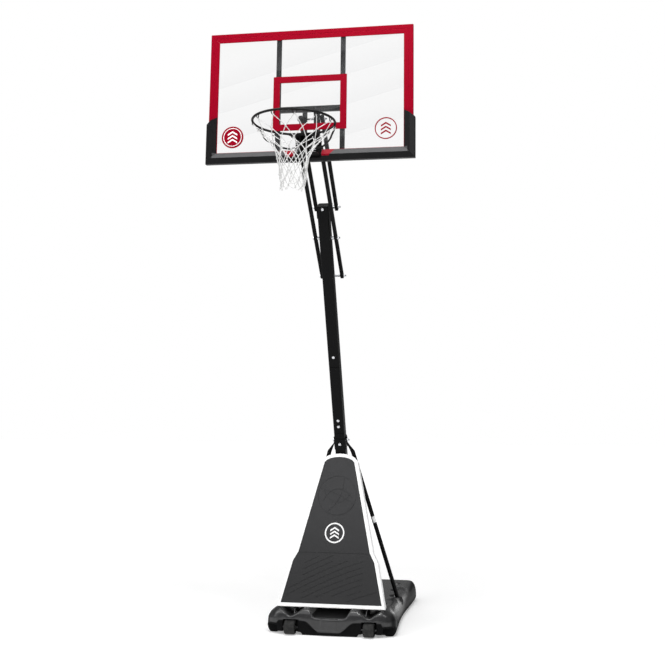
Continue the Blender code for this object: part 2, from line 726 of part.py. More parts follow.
def cut_filler_neck(tank, material):
    place = frame_at(FILLER_PLACE + Vector((0, 0, TANK_REAR_HEIGHT - 0.030)), Z_AXIS)
    neck = turned("filler_neck_cut", [(FILLER_RADIUS + HOLE_PLAY, 0.0), (FILLER_RADIUS + HOLE_PLAY, 0.05)],
                  place, 24, material)
    boolean(tank, neck)


def build_tank(m):
    tank = tank_shell(m["tank_plastic"])
    cut_front_valley(tank, m["tank_plastic"])
    cut_scoops(tank, m["tank_plastic"])
    cut_wheel_pockets(tank, m["tank_plastic"])
    add_front_panel(tank, m["tank_plastic"])
    cut_tank_top(tank, m["tank_plastic"])
    cut_stay_sockets(tank, m["tank_plastic"])
    cut_pole_socket(tank, m["tank_plastic"])
    cut_filler_neck(tank, m["tank_plastic"])
    axle_centre = Vector((0, WHEEL_Y, WHEEL_CENTRE_HEIGHT))
    drill([tank], axle_centre, X_AXIS, AXLE_RADIUS + HOLE_PLAY, 2 * axle_half_length() + 0.002,
          side=Y_AXIS)
    return tank


def axle_half_length():
    return WHEEL_X + WHEEL_WIDTH / 2 + POCKET_PLAY + 0.020


def build_filler_plug(m):
    """A ribbed plug that pushes into the filler neck, with a grip tab under its rim."""
    place = frame_at(FILLER_PLACE + Vector((0, 0, TANK_REAR_HEIGHT)), Z_AXIS)
    profile = [(FILLER_RADIUS - 0.003, -0.024), (FILLER_RADIUS, -0.020), (FILLER_RADIUS, -0.016),
               (FILLER_RADIUS - 0.0015, -0.014), (FILLER_RADIUS - 0.0015, -0.010), (FILLER_RADIUS, -0.008),
               (FILLER_RADIUS, GAP), (FILLER_RADIUS + 0.008, GAP), (FILLER_RADIUS + 0.008, 0.005),
               (FILLER_RADIUS + 0.005, 0.008), (0.014, 0.008), (0.012, 0.004)]
    return turned("filler_plug", profile, place, 24, m["black_plastic"])


def build_axle(m):
    half = axle_half_length()
    place = frame_at(Vector((0, WHEEL_Y, WHEEL_CENTRE_HEIGHT)), X_AXIS, Y_AXIS)
    profile = [(AXLE_RADIUS * 0.7, -half), (AXLE_RADIUS, -half + 0.002), (AXLE_RADIUS, half - 0.002),
               (AXLE_RADIUS * 0.7, half)]
    return turned("wheel_axle", profile, place, 16, m["zinc"])


def build_wheel(name, side, m):
    """A moulded wheel: a tread with chamfered shoulders, dished faces and a hub round its bore."""
    half = WHEEL_WIDTH / 2
    place = frame_at(Vector((side * WHEEL_X, WHEEL_Y, WHEEL_CENTRE_HEIGHT)), X_AXIS, Y_AXIS)
    bore = AXLE_RADIUS + HOLE_PLAY
    hub = AXLE_RADIUS + 0.008
    rim = WHEEL_RADIUS - 0.010
    profile = [(bore, -half), (hub, -half), (hub, -half + 0.008), (rim, -half + 0.008), (rim + 0.002, -half),
               (WHEEL_RADIUS - 0.004, -half), (WHEEL_RADIUS, -half + 0.005), (WHEEL_RADIUS, half - 0.005),
               (WHEEL_RADIUS - 0.004, half), (rim + 0.002, half), (rim, half - 0.008), (hub, half - 0.008),
               (hub, half), (bore, half)]
    return turned(name, profile, place, 24, m["rubber"], closed=True)


# Pole

def pole_point(height, back=0.0, along=0.0):
    """The pole's centre line at a height, moved back from it and along it."""
    run = (height - LIFT_HEIGHT) / POLE_UP.z
    return LIFT_PIVOT + (run + along) * POLE_UP + back * POLE_BACK


def pole_section(name, start, end, neck, material):
    """A square tube whose drawn-in neck, if it has one, goes up into the next section."""
    place = frame_at(start, POLE_UP)
    length = (end - start).length
    outer = rounded_rectangle(POLE_WIDTH, POLE_WIDTH, POLE_CORNER)
    inner_width = POLE_WIDTH - 2 * POLE_WALL
    inner = rounded_rectangle(inner_width, inner_width, POLE_CORNER - POLE_WALL)
    sections = [(outer, 0.0), (outer, length)]
    if neck:
        taper = 0.005
        neck_width = inner_width - 2 * HOLE_PLAY
        neck_outer = rounded_rectangle(neck_width, neck_width, POLE_CORNER - POLE_WALL)
        bore_width = neck_width - 2 * POLE_WALL
        neck_inner = rounded_rectangle(bore_width, bore_width, POLE_CORNER - 2 * POLE_WALL)
        sections = [(outer, 0.0), (outer, length - taper), (neck_outer, length), (neck_outer, length + neck),
                    (neck_inner, length + neck), (neck_inner, length), (inner, length - 3 * taper)]
    else:
        sections.append((inner, length))
    sections.append((inner, 0.0))
    rings = [[place(u, v, w) for u, v in outline] for outline, w in sections]
    return lofted(name, rings, material, closed=True)


def build_pole(m):
    paint = m["black_paint"]
    lower = pole_section("pole_lower", pole_point(POLE_FOOT_HEIGHT), pole_point(LOWER_JOINT_HEIGHT),
                         NECK_LENGTH, paint)
    middle = pole_section("pole_middle", pole_point(LOWER_JOINT_HEIGHT, along=GAP),
                          pole_point(UPPER_JOINT_HEIGHT), NECK_LENGTH, paint)
    upper = pole_section("pole_upper", pole_point(UPPER_JOINT_HEIGHT, along=GAP),
                         pole_point(POLE_TOP_HEIGHT), 0.0, paint)
    return lower, middle, upper


def build_pole_cap(m):
    """A plastic cap: a flange on the tube's end and a spigot inside it."""
    place = frame_at(pole_point(POLE_TOP_HEIGHT, along=GAP), POLE_UP)
    plug_width = POLE_WIDTH - 2 * POLE_WALL - 2 * HOLE_PLAY
    plug = rounded_rectangle(plug_width, plug_width, POLE_CORNER - POLE_WALL)
    flange = rounded_rectangle(POLE_WIDTH + 0.002, POLE_WIDTH + 0.002, POLE_CORNER)
    crown = rounded_rectangle(POLE_WIDTH - 0.004, POLE_WIDTH - 0.004, POLE_CORNER)
    sections = ((plug, -CAP_SPIGOT), (plug, 0.0), (flange, 0.0), (flange, 0.004), (crown, 0.008))
    rings = [[place(u, v, w) for u, v in outline] for outline, w in sections]
    return lofted("pole_cap", rings, m["black_plastic"])


def build_pole_bolts(sections, m):
    """Carriage bolts through the front and back of the pole where its sections overlap."""
    lower, middle, upper = sections
    spots = (("pole_bolt_upper", UPPER_JOINT_HEIGHT + JOINT_BOLT_RISE, (middle, upper)),
             ("pole_bolt_lower_a", LOWER_JOINT_HEIGHT + JOINT_BOLT_HIGH, (lower, middle)),
             ("pole_bolt_lower_b", LOWER_JOINT_HEIGHT + JOINT_BOLT_LOW, (lower, middle)))
    for name, height, tubes in spots:
        centre = pole_point(height)
        carriage_bolt(name, centre, POLE_BACK, POLE_WIDTH + 2 * GAP, m["zinc"])
        drill(list(tubes), centre, POLE_BACK, BOLT_RADIUS + HOLE_PLAY, 2 * POLE_WIDTH)


def build_foot_collar(m):
    """A steel flange on the tank with an ear on each side of the pole, and the bolt that ties them."""
    ground = pole_point(TANK_REAR_HEIGHT)
    half = POLE_WIDTH / 2 + HOLE_PLAY
    plate = rounded_corners([(-0.085, -0.085), (0.085, -0.085), (0.085, 0.095), (-0.085, 0.095)],
                            (0.012,) * 4, steps=3)
    flange = extruded("foot_collar", [(x, ground.y + y) for x, y in plate], TANK_REAR_HEIGHT + GAP,
                      TANK_REAR_HEIGHT + GAP + 0.005, world, m["black_paint"])
    ear_top = TANK_REAR_HEIGHT + FOOT_COLLAR_HEIGHT
    lean = FOOT_COLLAR_HEIGHT * math.tan(POLE_LEAN)
    for side in (-1, 1):
        ear = rounded_corners([(ground.y - 0.040, TANK_REAR_HEIGHT + 0.002),
                               (ground.y + 0.040, TANK_REAR_HEIGHT + 0.002),
                               (ground.y + 0.026 - lean, ear_top), (ground.y - 0.026 - lean, ear_top)],
                              (0.0, 0.0, 0.015, 0.015), steps=3)
        low = min(side * half, side * (half + FOOT_COLLAR_WALL))
        ear_solid = extruded(f"foot_ear_{side}", ear, low, low + FOOT_COLLAR_WALL, side_on, m["black_paint"])
        boolean(flange, ear_solid, "UNION")
    place = frame_at(pole_point(POLE_FOOT_HEIGHT), POLE_UP)
    opening = rounded_rectangle(2 * half, 2 * half, POLE_CORNER)
    cut_length = 2 * (TANK_REAR_HEIGHT + FOOT_COLLAR_HEIGHT)
    tool = extruded("foot_collar_cut", opening, 0.0, cut_length, place, m["black_paint"])
    boolean(flange, tool)
    return flange


def build_foot_bolt(collar, pole_lower, m):
    centre = pole_point(TANK_REAR_HEIGHT + 0.6 * FOOT_COLLAR_HEIGHT)
    grip = POLE_WIDTH + 2 * HOLE_PLAY + 2 * FOOT_COLLAR_WALL + 2 * GAP
    hex_bolt("foot_bolt", centre, X_AXIS, grip, BOLT_RADIUS, m["zinc"], side=Y_AXIS)
    drill([collar, pole_lower], centre, X_AXIS, BOLT_RADIUS + HOLE_PLAY, 2 * grip, side=Y_AXIS)


# Stays

def clamp_outline(extra):
    width = POLE_WIDTH + 2 * extra
    return rounded_rectangle(width, width, POLE_CORNER + extra)


def build_stay_clamp(pole_lower, m):
    """A pressed collar round the pole, bolted through it from front to back."""
    place = frame_at(pole_point(STAY_TOP_HEIGHT, along=-CLAMP_HEIGHT / 2), POLE_UP)
    outer = clamp_outline(CLAMP_WALL + GAP)
    inner = clamp_outline(GAP)
    sections = ((outer, 0.0), (outer, CLAMP_HEIGHT), (inner, CLAMP_HEIGHT), (inner, 0.0))
    rings = [[place(u, v, w) for u, v in outline] for outline, w in sections]
    clamp = lofted("stay_clamp", rings, m["black_paint"], closed=True)
    centre = pole_point(STAY_TOP_HEIGHT)
    carriage_bolt("stay_clamp_bolt", centre, POLE_BACK, POLE_WIDTH + 2 * CLAMP_WALL + 4 * GAP, m["zinc"])
    drill([clamp, pole_lower], centre, POLE_BACK, BOLT_RADIUS + HOLE_PLAY, 2 * POLE_WIDTH)
    return clamp


def stay_line(side):
    """The stay's straight run, from its bend beside the pole to where it enters the tank."""
    head = pole_point(STAY_TOP_HEIGHT - 0.012)
    top = Vector((side * STAY_TOP_X, head.y, head.z))
    foot = Vector((side * STAY_FOOT_X, STAY_FOOT_Y, TANK_REAR_HEIGHT))
    return top, foot


def stay_tab_face():
    """How far the outer face of a stay's flat end is from the middle of the pole."""
    return POLE_WIDTH / 2 + CLAMP_WALL + 2 * GAP + STAY_TAB_THICKNESS


def build_stay(name, side, m):
    """A round tube: its upper end pressed flat against the clamp, its foot pushed into the tank."""
    top, foot = stay_line(side)
    along = (foot - top).normalized()
    outward = side * X_AXIS
    down = Vector((0.0, along.y, along.z)).normalized()
    forward = X_AXIS.cross(down)
    back = along.cross(X_AXIS).normalized()
    across = side * back.cross(along).normalized()
    thin = STAY_TAB_THICKNESS / 2
    wide = STAY_RADIUS * 1.35

    def section(centre, first, half_first, second, half_second):
        return [centre + u * half_first * first + v * half_second * second for u, v in circle(1.0, 16)]

    bolt = pole_point(STAY_TOP_HEIGHT, along=STAY_BOLT_RISE)
    face = bolt + (stay_tab_face() - thin) * outward
    rings = [section(face - 0.022 * down, outward, thin * 0.8, forward, wide * 0.7),
             section(face - 0.015 * down, outward, thin, forward, wide),
             section(face + 0.020 * down, outward, thin, forward, wide),
             section(top + along * STAY_TAB_LENGTH, across, STAY_RADIUS, back, -STAY_RADIUS),
             section(foot + along * STAY_SOCKET_DEPTH, across, STAY_RADIUS, back, -STAY_RADIUS)]
    return lofted(name, rings, m["black_paint"], sharp_angle=50.0)


def build_stay_bolt(pieces, m):
    """The bolt across the pole that holds the flat ends of both stays to the clamp."""
    centre = pole_point(STAY_TOP_HEIGHT, along=STAY_BOLT_RISE)
    grip = 2 * (stay_tab_face() + GAP)
    hex_bolt("stay_bolt", centre, X_AXIS, grip, BOLT_RADIUS, m["zinc"], side=Y_AXIS)
    drill(pieces, centre, X_AXIS, BOLT_RADIUS + HOLE_PLAY, 2 * grip, side=Y_AXIS)


# Shroud

def shroud_place(depth_offset=0.0):
    """Place (across, depth, up the slope) on the shroud's leaning front."""
    slope_up = Vector((0.0, SHROUD_TOP_Y - SHROUD_BOTTOM_Y, SHROUD_TOP_HEIGHT - TANK_FRONT_HEIGHT))
    slope_up.normalize()
    inward = Vector((0.0, slope_up.z, -slope_up.y))
    origin = Vector((0.0, SHROUD_BOTTOM_Y, TANK_FRONT_HEIGHT + GAP)) + depth_offset * inward

    def place(u, v, w):
        return origin + u * X_AXIS + v * slope_up + w * inward

    return place


def shroud_length():
    return math.hypot(SHROUD_TOP_Y - SHROUD_BOTTOM_Y, SHROUD_TOP_HEIGHT - TANK_FRONT_HEIGHT)


def shroud_outline(inset):
    """Half a tapering shield with a knee, mirrored, and an arc over its top."""
    length = shroud_length()
    foot = SHROUD_FOOT_HALF
    right = [(foot, 0.0), SHROUD_KNEE_LOW, SHROUD_KNEE_HIGH, (SHROUD_HEAD_HALF, length - SHROUD_HEAD_DROP)]
    inner = []
    for x, s in right:
        inner.append((x - inset, s + (inset if s == 0.0 else 0.0)))
    head_x, head_s = inner[-1]
    rise = length - inset - head_s
    arc = []
    steps = 10
    for step in range(1, steps):
        angle = math.pi * step / steps
        shoulder = math.sin(angle) ** 0.8
        arc.append((head_x * math.cos(angle), head_s + rise * shoulder))
    left = [(-x, s) for x, s in reversed(inner)]
    return inner + arc + left


def build_shroud(m):
    """A white shell with side returns round a sunk panel, notched round the pole at its top."""
    outer = shroud_outline(0.0)
    window = shroud_outline(SHROUD_BORDER)
    inner = shroud_outline(SHROUD_WALL)
    lip = 0.012
    rear_lip = shroud_outline(SHROUD_BORDER + lip)
    place = shroud_place()
    recess = SHROUD_WALL + PANEL_RECESS
    sections = ((outer, SHROUD_DEPTH), (outer, 0.004), (shroud_outline(0.004), 0.0), (window, 0.0),
                (window, recess), (rear_lip, recess), (rear_lip, recess + SHROUD_WALL),
                (inner, recess + SHROUD_WALL), (inner, SHROUD_DEPTH))
    rings = [[place(u, v, w) for u, v in outline] for outline, w in sections]
    shell = lofted("shroud_shell", rings, m["white_shell"], closed=True)
    floor = [(-1.0, -0.2), (1.0, -0.2), (1.0, TANK_FRONT_HEIGHT + GAP), (-1.0, TANK_FRONT_HEIGHT + GAP)]
    boolean(shell, extruded("shroud_floor_cut", floor, -1.0, 1.0, front_on, m["white_shell"]))
    notch_front = -POLE_WIDTH / 2 - SWING_PLAY
    notch_back = SHROUD_DEPTH + POLE_WIDTH
    notch = [u * X_AXIS + v * POLE_BACK for u, v in ((-SHROUD_NOTCH_HALF, notch_front),
                                                    (SHROUD_NOTCH_HALF, notch_front),
                                                    (SHROUD_NOTCH_HALF, notch_back),
                                                    (-SHROUD_NOTCH_HALF, notch_back))]
    heights = (SHROUD_TOP_HEIGHT - SHROUD_NOTCH_LENGTH, SHROUD_TOP_HEIGHT + SHROUD_NOTCH_LENGTH)
    rings = [[pole_point(height) + corner for corner in notch] for height in heights]
    boolean(shell, lofted("shroud_notch_cut", rings, m["white_shell"]))
    return shell


def cut_groove(panel, name, path, material):
    """A shallow groove along a line of (across, up) points on the panel's face."""
    place = shroud_place()
    near = []
    far = []
    for i, point in enumerate(path):
        before = path[max(i - 1, 0)]
        after = path[min(i + 1, len(path) - 1)]
        run = (Vector(after) - Vector(before)).normalized()
        side = Vector((-run.y, run.x)) * GROOVE_WIDTH / 2
        near.append(tuple(Vector(point) + side))
        far.append(tuple(Vector(point) - side))
    outline = near + far[::-1]
    boolean(panel, extruded(name, outline, 0.0, PANEL_RECESS + GROOVE_DEPTH, place, material))


def cut_ball(panel, material):
    """The outline of a ball and its seams, pressed into the panel's upper half."""
    place = shroud_place()
    ball_up = shroud_length() - BALL_DOWN
    near = BALL_RADIUS - GROOVE_WIDTH / 2
    far = BALL_RADIUS + GROOVE_WIDTH / 2
    floor = PANEL_RECESS + GROOVE_DEPTH
    rings = []
    for i in range(BALL_STEPS):
        angle = math.tau * i / BALL_STEPS
        rings.append([place(r * math.cos(angle), ball_up + r * math.sin(angle), w)
                      for r, w in ((near, 0.0), (far, 0.0), (far, floor), (near, floor))])
    boolean(panel, lofted("ball_ring_cut", rings, material, closed=True))
    turn = math.radians(-24.0)
    reach = BALL_RADIUS - 0.008
    seams = {"level": (0.10, 0.0, 1.0), "upright": (-0.25, math.pi / 2, 1.0),
             "near_side": (0.55, 0.55, 0.80), "far_side": (-0.60, 0.35, 0.78)}
    for name, (bow, lean, span) in seams.items():
        path = []
        for i in range(9):
            t = (i / 8 * 2 - 1) * span
            x = reach * t
            y = reach * bow * (1 - (t / span) ** 2) - reach * bow * 0.35
            path.append((x * math.cos(turn + lean) - y * math.sin(turn + lean),
                         ball_up + x * math.sin(turn + lean) + y * math.cos(turn + lean)))
        cut_groove(panel, f"ball_{name}_cut", path, material)


def build_shroud_panel(m):
    """The grey panel: slanting grooves under a level crease, and a ball pressed in above it."""
    outline = shroud_outline(SHROUD_BORDER + GAP)
    panel = extruded("shroud_panel", outline, PANEL_RECESS - GAP, SHROUD_WALL + PANEL_RECESS - GAP,
                     shroud_place(), m["grey_panel"])
    half = SHROUD_KNEE_HIGH[0] - SHROUD_BORDER - 0.006
    cut_groove(panel, "crease_cut", [(-half, CREASE_UP), (half, CREASE_UP)], m["grey_panel"])
    for number in range(GROOVE_COUNT):
        start_up = -0.150 + number * GROOVE_SPACING
        path = []
        for i in range(7):
            x = -0.300 + i * 0.100
            up = start_up + (x + 0.300) * 0.56 - (x + 0.300) ** 2 * 0.22
            half = SHROUD_FOOT_HALF - SHROUD_BORDER - 0.012 - max(up, 0.0) * 0.21
            if 0.036 < up < CREASE_UP - 0.012 and abs(x) < half:
                path.append((x, up))
        if len(path) > 1:
            cut_groove(panel, f"slant_cut_{number}", path, m["grey_panel"])
    cut_ball(panel, m["grey_panel"])
    return panel


# Lift

def build_top_bracket(pole_upper, m):
    """Two ears that reach behind the pole's top to the upper arms, joined by a strap round its front."""
    base = pole_point(UPPER_PIVOT.z)
    back = UPPER_PIVOT - base
    inner = POLE_WIDTH / 2 + GAP
    outer = inner + BRACKET_WALL
    place = frame_at(base, POLE_UP)
    reach = back.dot(POLE_BACK)
    strap_top = (POLE_TOP_HEIGHT - UPPER_PIVOT.z) / POLE_UP.z - BRACKET_TOP_GAP
    front = -POLE_WIDTH / 2 - GAP
    tail = reach + 0.018
    outline = rounded_corners([(-outer, front - BRACKET_WALL), (outer, front - BRACKET_WALL), (outer, tail),
                               (inner, tail), (inner, front), (-inner, front), (-inner, tail),
                               (-outer, tail)], (0.004, 0.004, 0.0, 0.0, 0.0, 0.0, 0.0, 0.0), steps=2)
    bracket = extruded("top_bracket", outline, strap_top - BRACKET_HEIGHT, strap_top, place, m["black_paint"])
    spot = base + (strap_top - BRACKET_BOLT_DROP) * POLE_UP
    carriage_bolt("top_bracket_bolt", spot + POLE_BACK * (-BRACKET_WALL / 2), POLE_BACK,
                  POLE_WIDTH + BRACKET_WALL + 3 * GAP, m["zinc"])
    drill([bracket, pole_upper], spot, POLE_BACK, BOLT_RADIUS + HOLE_PLAY, 2 * POLE_WIDTH)
    return bracket


def long_arm_x(share):
    """The long arms spread a little from the board to their tails."""
    return LONG_ARM_BOARD_X + (LONG_ARM_TAIL_X - LONG_ARM_BOARD_X) * share


def build_long_arm(name, side, m):
    reach = ARM_LENGTH + TAIL_LENGTH
    start = BOARD_PIVOT + ARM_END * ARM_FORWARD
    end = TAIL_PIVOT - ARM_TAIL_END * ARM_FORWARD
    slope = (LONG_ARM_TAIL_X - LONG_ARM_BOARD_X) / reach
    start.x = side * (LONG_ARM_BOARD_X - slope * ARM_END)
    end.x = side * (LONG_ARM_TAIL_X + slope * ARM_TAIL_END)
    return hollow_tube(name, ARM_WIDTH, ARM_DEPTH, 0.005, ARM_WALL, start, end, X_AXIS, m["black_paint"])


def build_short_arm(name, side, m):
    start = BOARD_UPPER_PIVOT + ARM_END * ARM_FORWARD
    end = UPPER_PIVOT - ARM_END * ARM_FORWARD
    offset = side * SHORT_ARM_X * X_AXIS
    return hollow_tube(name, ARM_WIDTH, ARM_DEPTH, 0.005, ARM_WALL, start + offset, end + offset, X_AXIS,
                       m["black_paint"])


def drill_pivot(objects, centre):
    drill(objects, centre, X_AXIS, PIVOT_RADIUS + HOLE_PLAY, 2 * PIVOT_DRILL, side=Y_AXIS)


def build_lift(pole_upper, bracket, m):
    left = build_long_arm("long_arm_left", -1, m)
    right = build_long_arm("long_arm_right", 1, m)
    upper_left = build_short_arm("short_arm_left", -1, m)
    upper_right = build_short_arm("short_arm_right", 1, m)
    arm_share = ARM_LENGTH / (ARM_LENGTH + TAIL_LENGTH)
    arm_x = long_arm_x(arm_share)
    half = ARM_WIDTH / 2
    hex_bolt("lift_bolt", LIFT_PIVOT, X_AXIS, 2 * (arm_x + half + 0.0012), PIVOT_RADIUS, m["zinc"],
             side=Y_AXIS, collar=(COLLAR_RADIUS, POLE_WIDTH / 2 + GAP, arm_x - half - 0.0012))
    drill_pivot([pole_upper, left, right], LIFT_PIVOT)
    ear = POLE_WIDTH / 2 + BRACKET_WALL + 2 * GAP
    hex_bolt("upper_bolt", UPPER_PIVOT, X_AXIS, 2 * (SHORT_ARM_X + half + 0.0012), PIVOT_RADIUS, m["zinc"],
             side=Y_AXIS, collar=(COLLAR_RADIUS, ear, SHORT_ARM_X - half - 0.0012))
    drill_pivot([bracket, upper_left, upper_right], UPPER_PIVOT)
    hex_bolt("tail_bolt", TAIL_PIVOT, X_AXIS, 2 * (LONG_ARM_TAIL_X + half + 0.0008), PIVOT_RADIUS, m["zinc"],
             side=Y_AXIS, collar=(TAIL_COLLAR_RADIUS, LOCK_BAR_THICKNESS / 2 + 0.001,
                                  LONG_ARM_TAIL_X - half - 0.001))
    drill_pivot([left, right], TAIL_PIVOT)
    return left, right, upper_left, upper_right


# Height lock

def tail_at(lift_angle):
    """Where the arms' tail pivot is, once the board has come down by an angle."""
    return LIFT_PIVOT + Matrix.Rotation(lift_angle, 3, "X") @ (TAIL_PIVOT - LIFT_PIVOT)


def lock_settings():
    """The lift angle of each height setting: equal steps of the rim's height."""
    top = math.sin(ARM_ANGLE)
    bottom = math.sin(ARM_ANGLE - LIFT_TRAVEL)
    shares = [i / (LOCK_SETTINGS - 1) for i in range(LOCK_SETTINGS)]
    return [ARM_ANGLE - math.asin(top + (bottom - top) * share) for share in shares]


def lock_place(u, v, w):
    """Across, toward the pole, and down the bar, which hangs along the pole when the board is highest."""
    return TAIL_PIVOT + u * X_AXIS - v * POLE_BACK - w * POLE_UP


def cut_lock_notch(bar, number, seat, material):
    """A round seat for the pin, open toward the pole and rising to its mouth."""
    play = LOCK_PIN_RADIUS + 2 * HOLE_PLAY
    mouth = LOCK_BAR_FRONT + 0.010
    rise = 0.004
    path = [(0.0, seat + play), (0.0, seat - play), (mouth, seat - play - rise), (mouth, seat + play - rise)]
    rings = [[lock_place(w, u, v) for u, v in path] for w in (-LOCK_BAR_THICKNESS, LOCK_BAR_THICKNESS)]
    boolean(bar, lofted(f"lock_notch_cut_{number}", rings, material))
    drill([bar], lock_place(0.0, 0.0, seat), X_AXIS, play, 4 * LOCK_BAR_THICKNESS, count=12, side=Y_AXIS)


def build_lock_bar(m):
    """A flat bar hung from the tail bolt, with a notch for each height setting and a shank for its grip."""
    seats = [(tail_at(angle) - LOCK_PIN).length for angle in lock_settings()]
    bottom = max(seats) + 0.045
    handle = bottom + LOCK_GRIP_LENGTH
    shank = 0.008
    middle = (LOCK_BAR_FRONT - LOCK_BAR_BACK) / 2
    corners = [(-0.016, -0.018), (0.016, -0.018), (0.016, 0.030), (LOCK_BAR_FRONT, 0.060),
               (LOCK_BAR_FRONT, bottom), (middle + shank, bottom + 0.012), (middle + shank, handle),
               (middle - shank, handle), (middle - shank, bottom + 0.012), (-LOCK_BAR_BACK, bottom),
               (-LOCK_BAR_BACK, 0.060), (-0.016, 0.030)]
    radii = (0.014, 0.014, 0.0, 0.0, 0.004, 0.0, 0.002, 0.002, 0.0, 0.004, 0.0, 0.0)
    outline = rounded_corners(corners, radii, steps=3)
    half = LOCK_BAR_THICKNESS / 2
    rings = [[lock_place(w, u, v) for u, v in outline] for w in (-half, half)]
    bar = lofted("lock_bar", rings, m["zinc"])
    for number, seat in enumerate(seats):
        cut_lock_notch(bar, number, seat, m["zinc"])
    drill_pivot([bar], TAIL_PIVOT)
    build_lock_grip(lock_place(0.0, middle, bottom + 0.016), shank, handle - bottom - 0.016, m)
    return bar


def build_lock_grip(start, shank, shank_length, m):
    """A waisted rubber grip pushed over the bar's shank."""
    place = frame_at(start, -POLE_UP)
    profile = [(0.012, 0.0), (LOCK_GRIP_RADIUS, 0.006), (0.0140, 0.030), (0.0150, 0.060), (0.0140, 0.090),
               (LOCK_GRIP_RADIUS, 0.112), (0.012, 0.120)]
    grip = turned("lock_grip", profile, place, 16, m["rubber"])
    wide = 2 * (shank + GAP)
    thin = LOCK_BAR_THICKNESS + 2 * GAP
    pocket = [(-thin / 2, -wide / 2), (thin / 2, -wide / 2), (thin / 2, wide / 2), (-thin / 2, wide / 2)]
    boolean(grip, extruded("grip_pocket_cut", pocket, -0.02, shank_length + GAP, place, m["rubber"]))


def build_lock_guide(m):
    """A channel on the pole's back whose cheeks keep the bar straight, with the fixed pin across it."""
    from_pivot = LOCK_PIN - LIFT_PIVOT
    place = frame_at(LIFT_PIVOT + from_pivot.dot(POLE_UP) * POLE_UP, POLE_UP)
    standoff = from_pivot.dot(POLE_BACK)
    direction = 1.0 if (place(0, 1, 0) - place(0, 0, 0)).dot(POLE_BACK) > 0.0 else -1.0
    base = POLE_WIDTH / 2 + GAP
    cheek_in = LOCK_CHEEK_X
    cheek_out = cheek_in + 0.003
    tail = standoff + 0.020
    web = base + 0.003
    flange = LOCK_GUIDE_FLANGE
    outline = [(-flange, base), (flange, base), (flange, web), (cheek_out, web), (cheek_out, tail),
               (cheek_in, tail), (cheek_in, web), (-cheek_in, web), (-cheek_in, tail), (-cheek_out, tail),
               (-cheek_out, web), (-flange, web)]
    outline = [(u, direction * v) for u, v in outline]
    guide = extruded("lock_guide", outline, -LOCK_GUIDE_HALF, LOCK_GUIDE_HALF, place, m["black_paint"])
    pin_place = frame_at(LOCK_PIN, X_AXIS, Y_AXIS)
    pin_half = cheek_out + 0.004
    pin = turned("lock_pin_rod", [(LOCK_PIN_RADIUS, -pin_half), (LOCK_PIN_RADIUS, pin_half)], pin_place, 12,
                 m["black_paint"])
    boolean(guide, pin, "UNION")
    return guide


# Board

def board_half():
    return BOARD_WIDTH / 2


def build_sheet(m):
    inset = TRIM_SIDE + GAP
    half = board_half() - inset
    low = BOARD_BOTTOM + inset
    high = BOARD_TOP - inset
    outline = rounded_corners([(-half, low), (half, low), (half, high), (-half, high)], (0.004,) * 4, steps=2)
    return extruded("acrylic_sheet", outline, BOARD_FACE_Y, BOARD_FACE_Y + SHEET_THICKNESS, front_on,
                    m["clear_sheet"])


def board_edges():
    """The four edges of the board: name, a point inset from it, and the mitred end at each corner."""
    half = board_half()
    return {
        "left": lambda inset, end: (-half + inset, (BOARD_BOTTOM + inset, BOARD_TOP - inset)[end]),
        "right": lambda inset, end: (half - inset, (BOARD_TOP - inset, BOARD_BOTTOM + inset)[end]),
        "top": lambda inset, end: ((-half + inset, half - inset)[end], BOARD_TOP - inset),
        "bottom": lambda inset, end: ((half - inset, -half + inset)[end], BOARD_BOTTOM + inset),
    }


def mitred_bar(name, edge, profile, material, bore=None):
    """Run a profile of (inset, y) along one edge of the board, with 45 degree mitres at its ends."""
    def end_ring(outline, end):
        ring = []
        for inset, y in outline:
            x, z = edge(inset, end)
            other_x, other_z = edge(inset, 1 - end)
            pull = Vector((other_x - x, 0.0, other_z - z)).normalized() * GAP
            ring.append(Vector((x, y, z)) + pull)
        return ring

    if bore is None:
        return lofted(name, [end_ring(profile, 0), end_ring(profile, 1)], material)
    rings = [end_ring(profile, 0), end_ring(profile, 1), end_ring(bore, 1), end_ring(bore, 0)]
    return lofted(name, rings, material, closed=True)


def build_trims(m):
    """The red edging: an angle whose face has a shallow crease along its middle."""
    front = BOARD_FACE_Y - GAP
    back = BOARD_FACE_Y + SHEET_THICKNESS + FRAME_TUBE * 0.6
    face = front - TRIM_THICKNESS
    crease = TRIM_WIDTH * 0.48
    profile = [(0.0, back), (0.0, face + 0.0015), (0.0015, face), (crease - 0.002, face),
               (crease, face + 0.0010), (crease + 0.002, face), (TRIM_WIDTH - 0.001, face),
               (TRIM_WIDTH, face + 0.001), (TRIM_WIDTH, front), (TRIM_SIDE, front), (TRIM_SIDE, back)]
    return [mitred_bar(f"trim_{name}", edge, profile, m["red_trim"]) for name, edge in board_edges().items()]


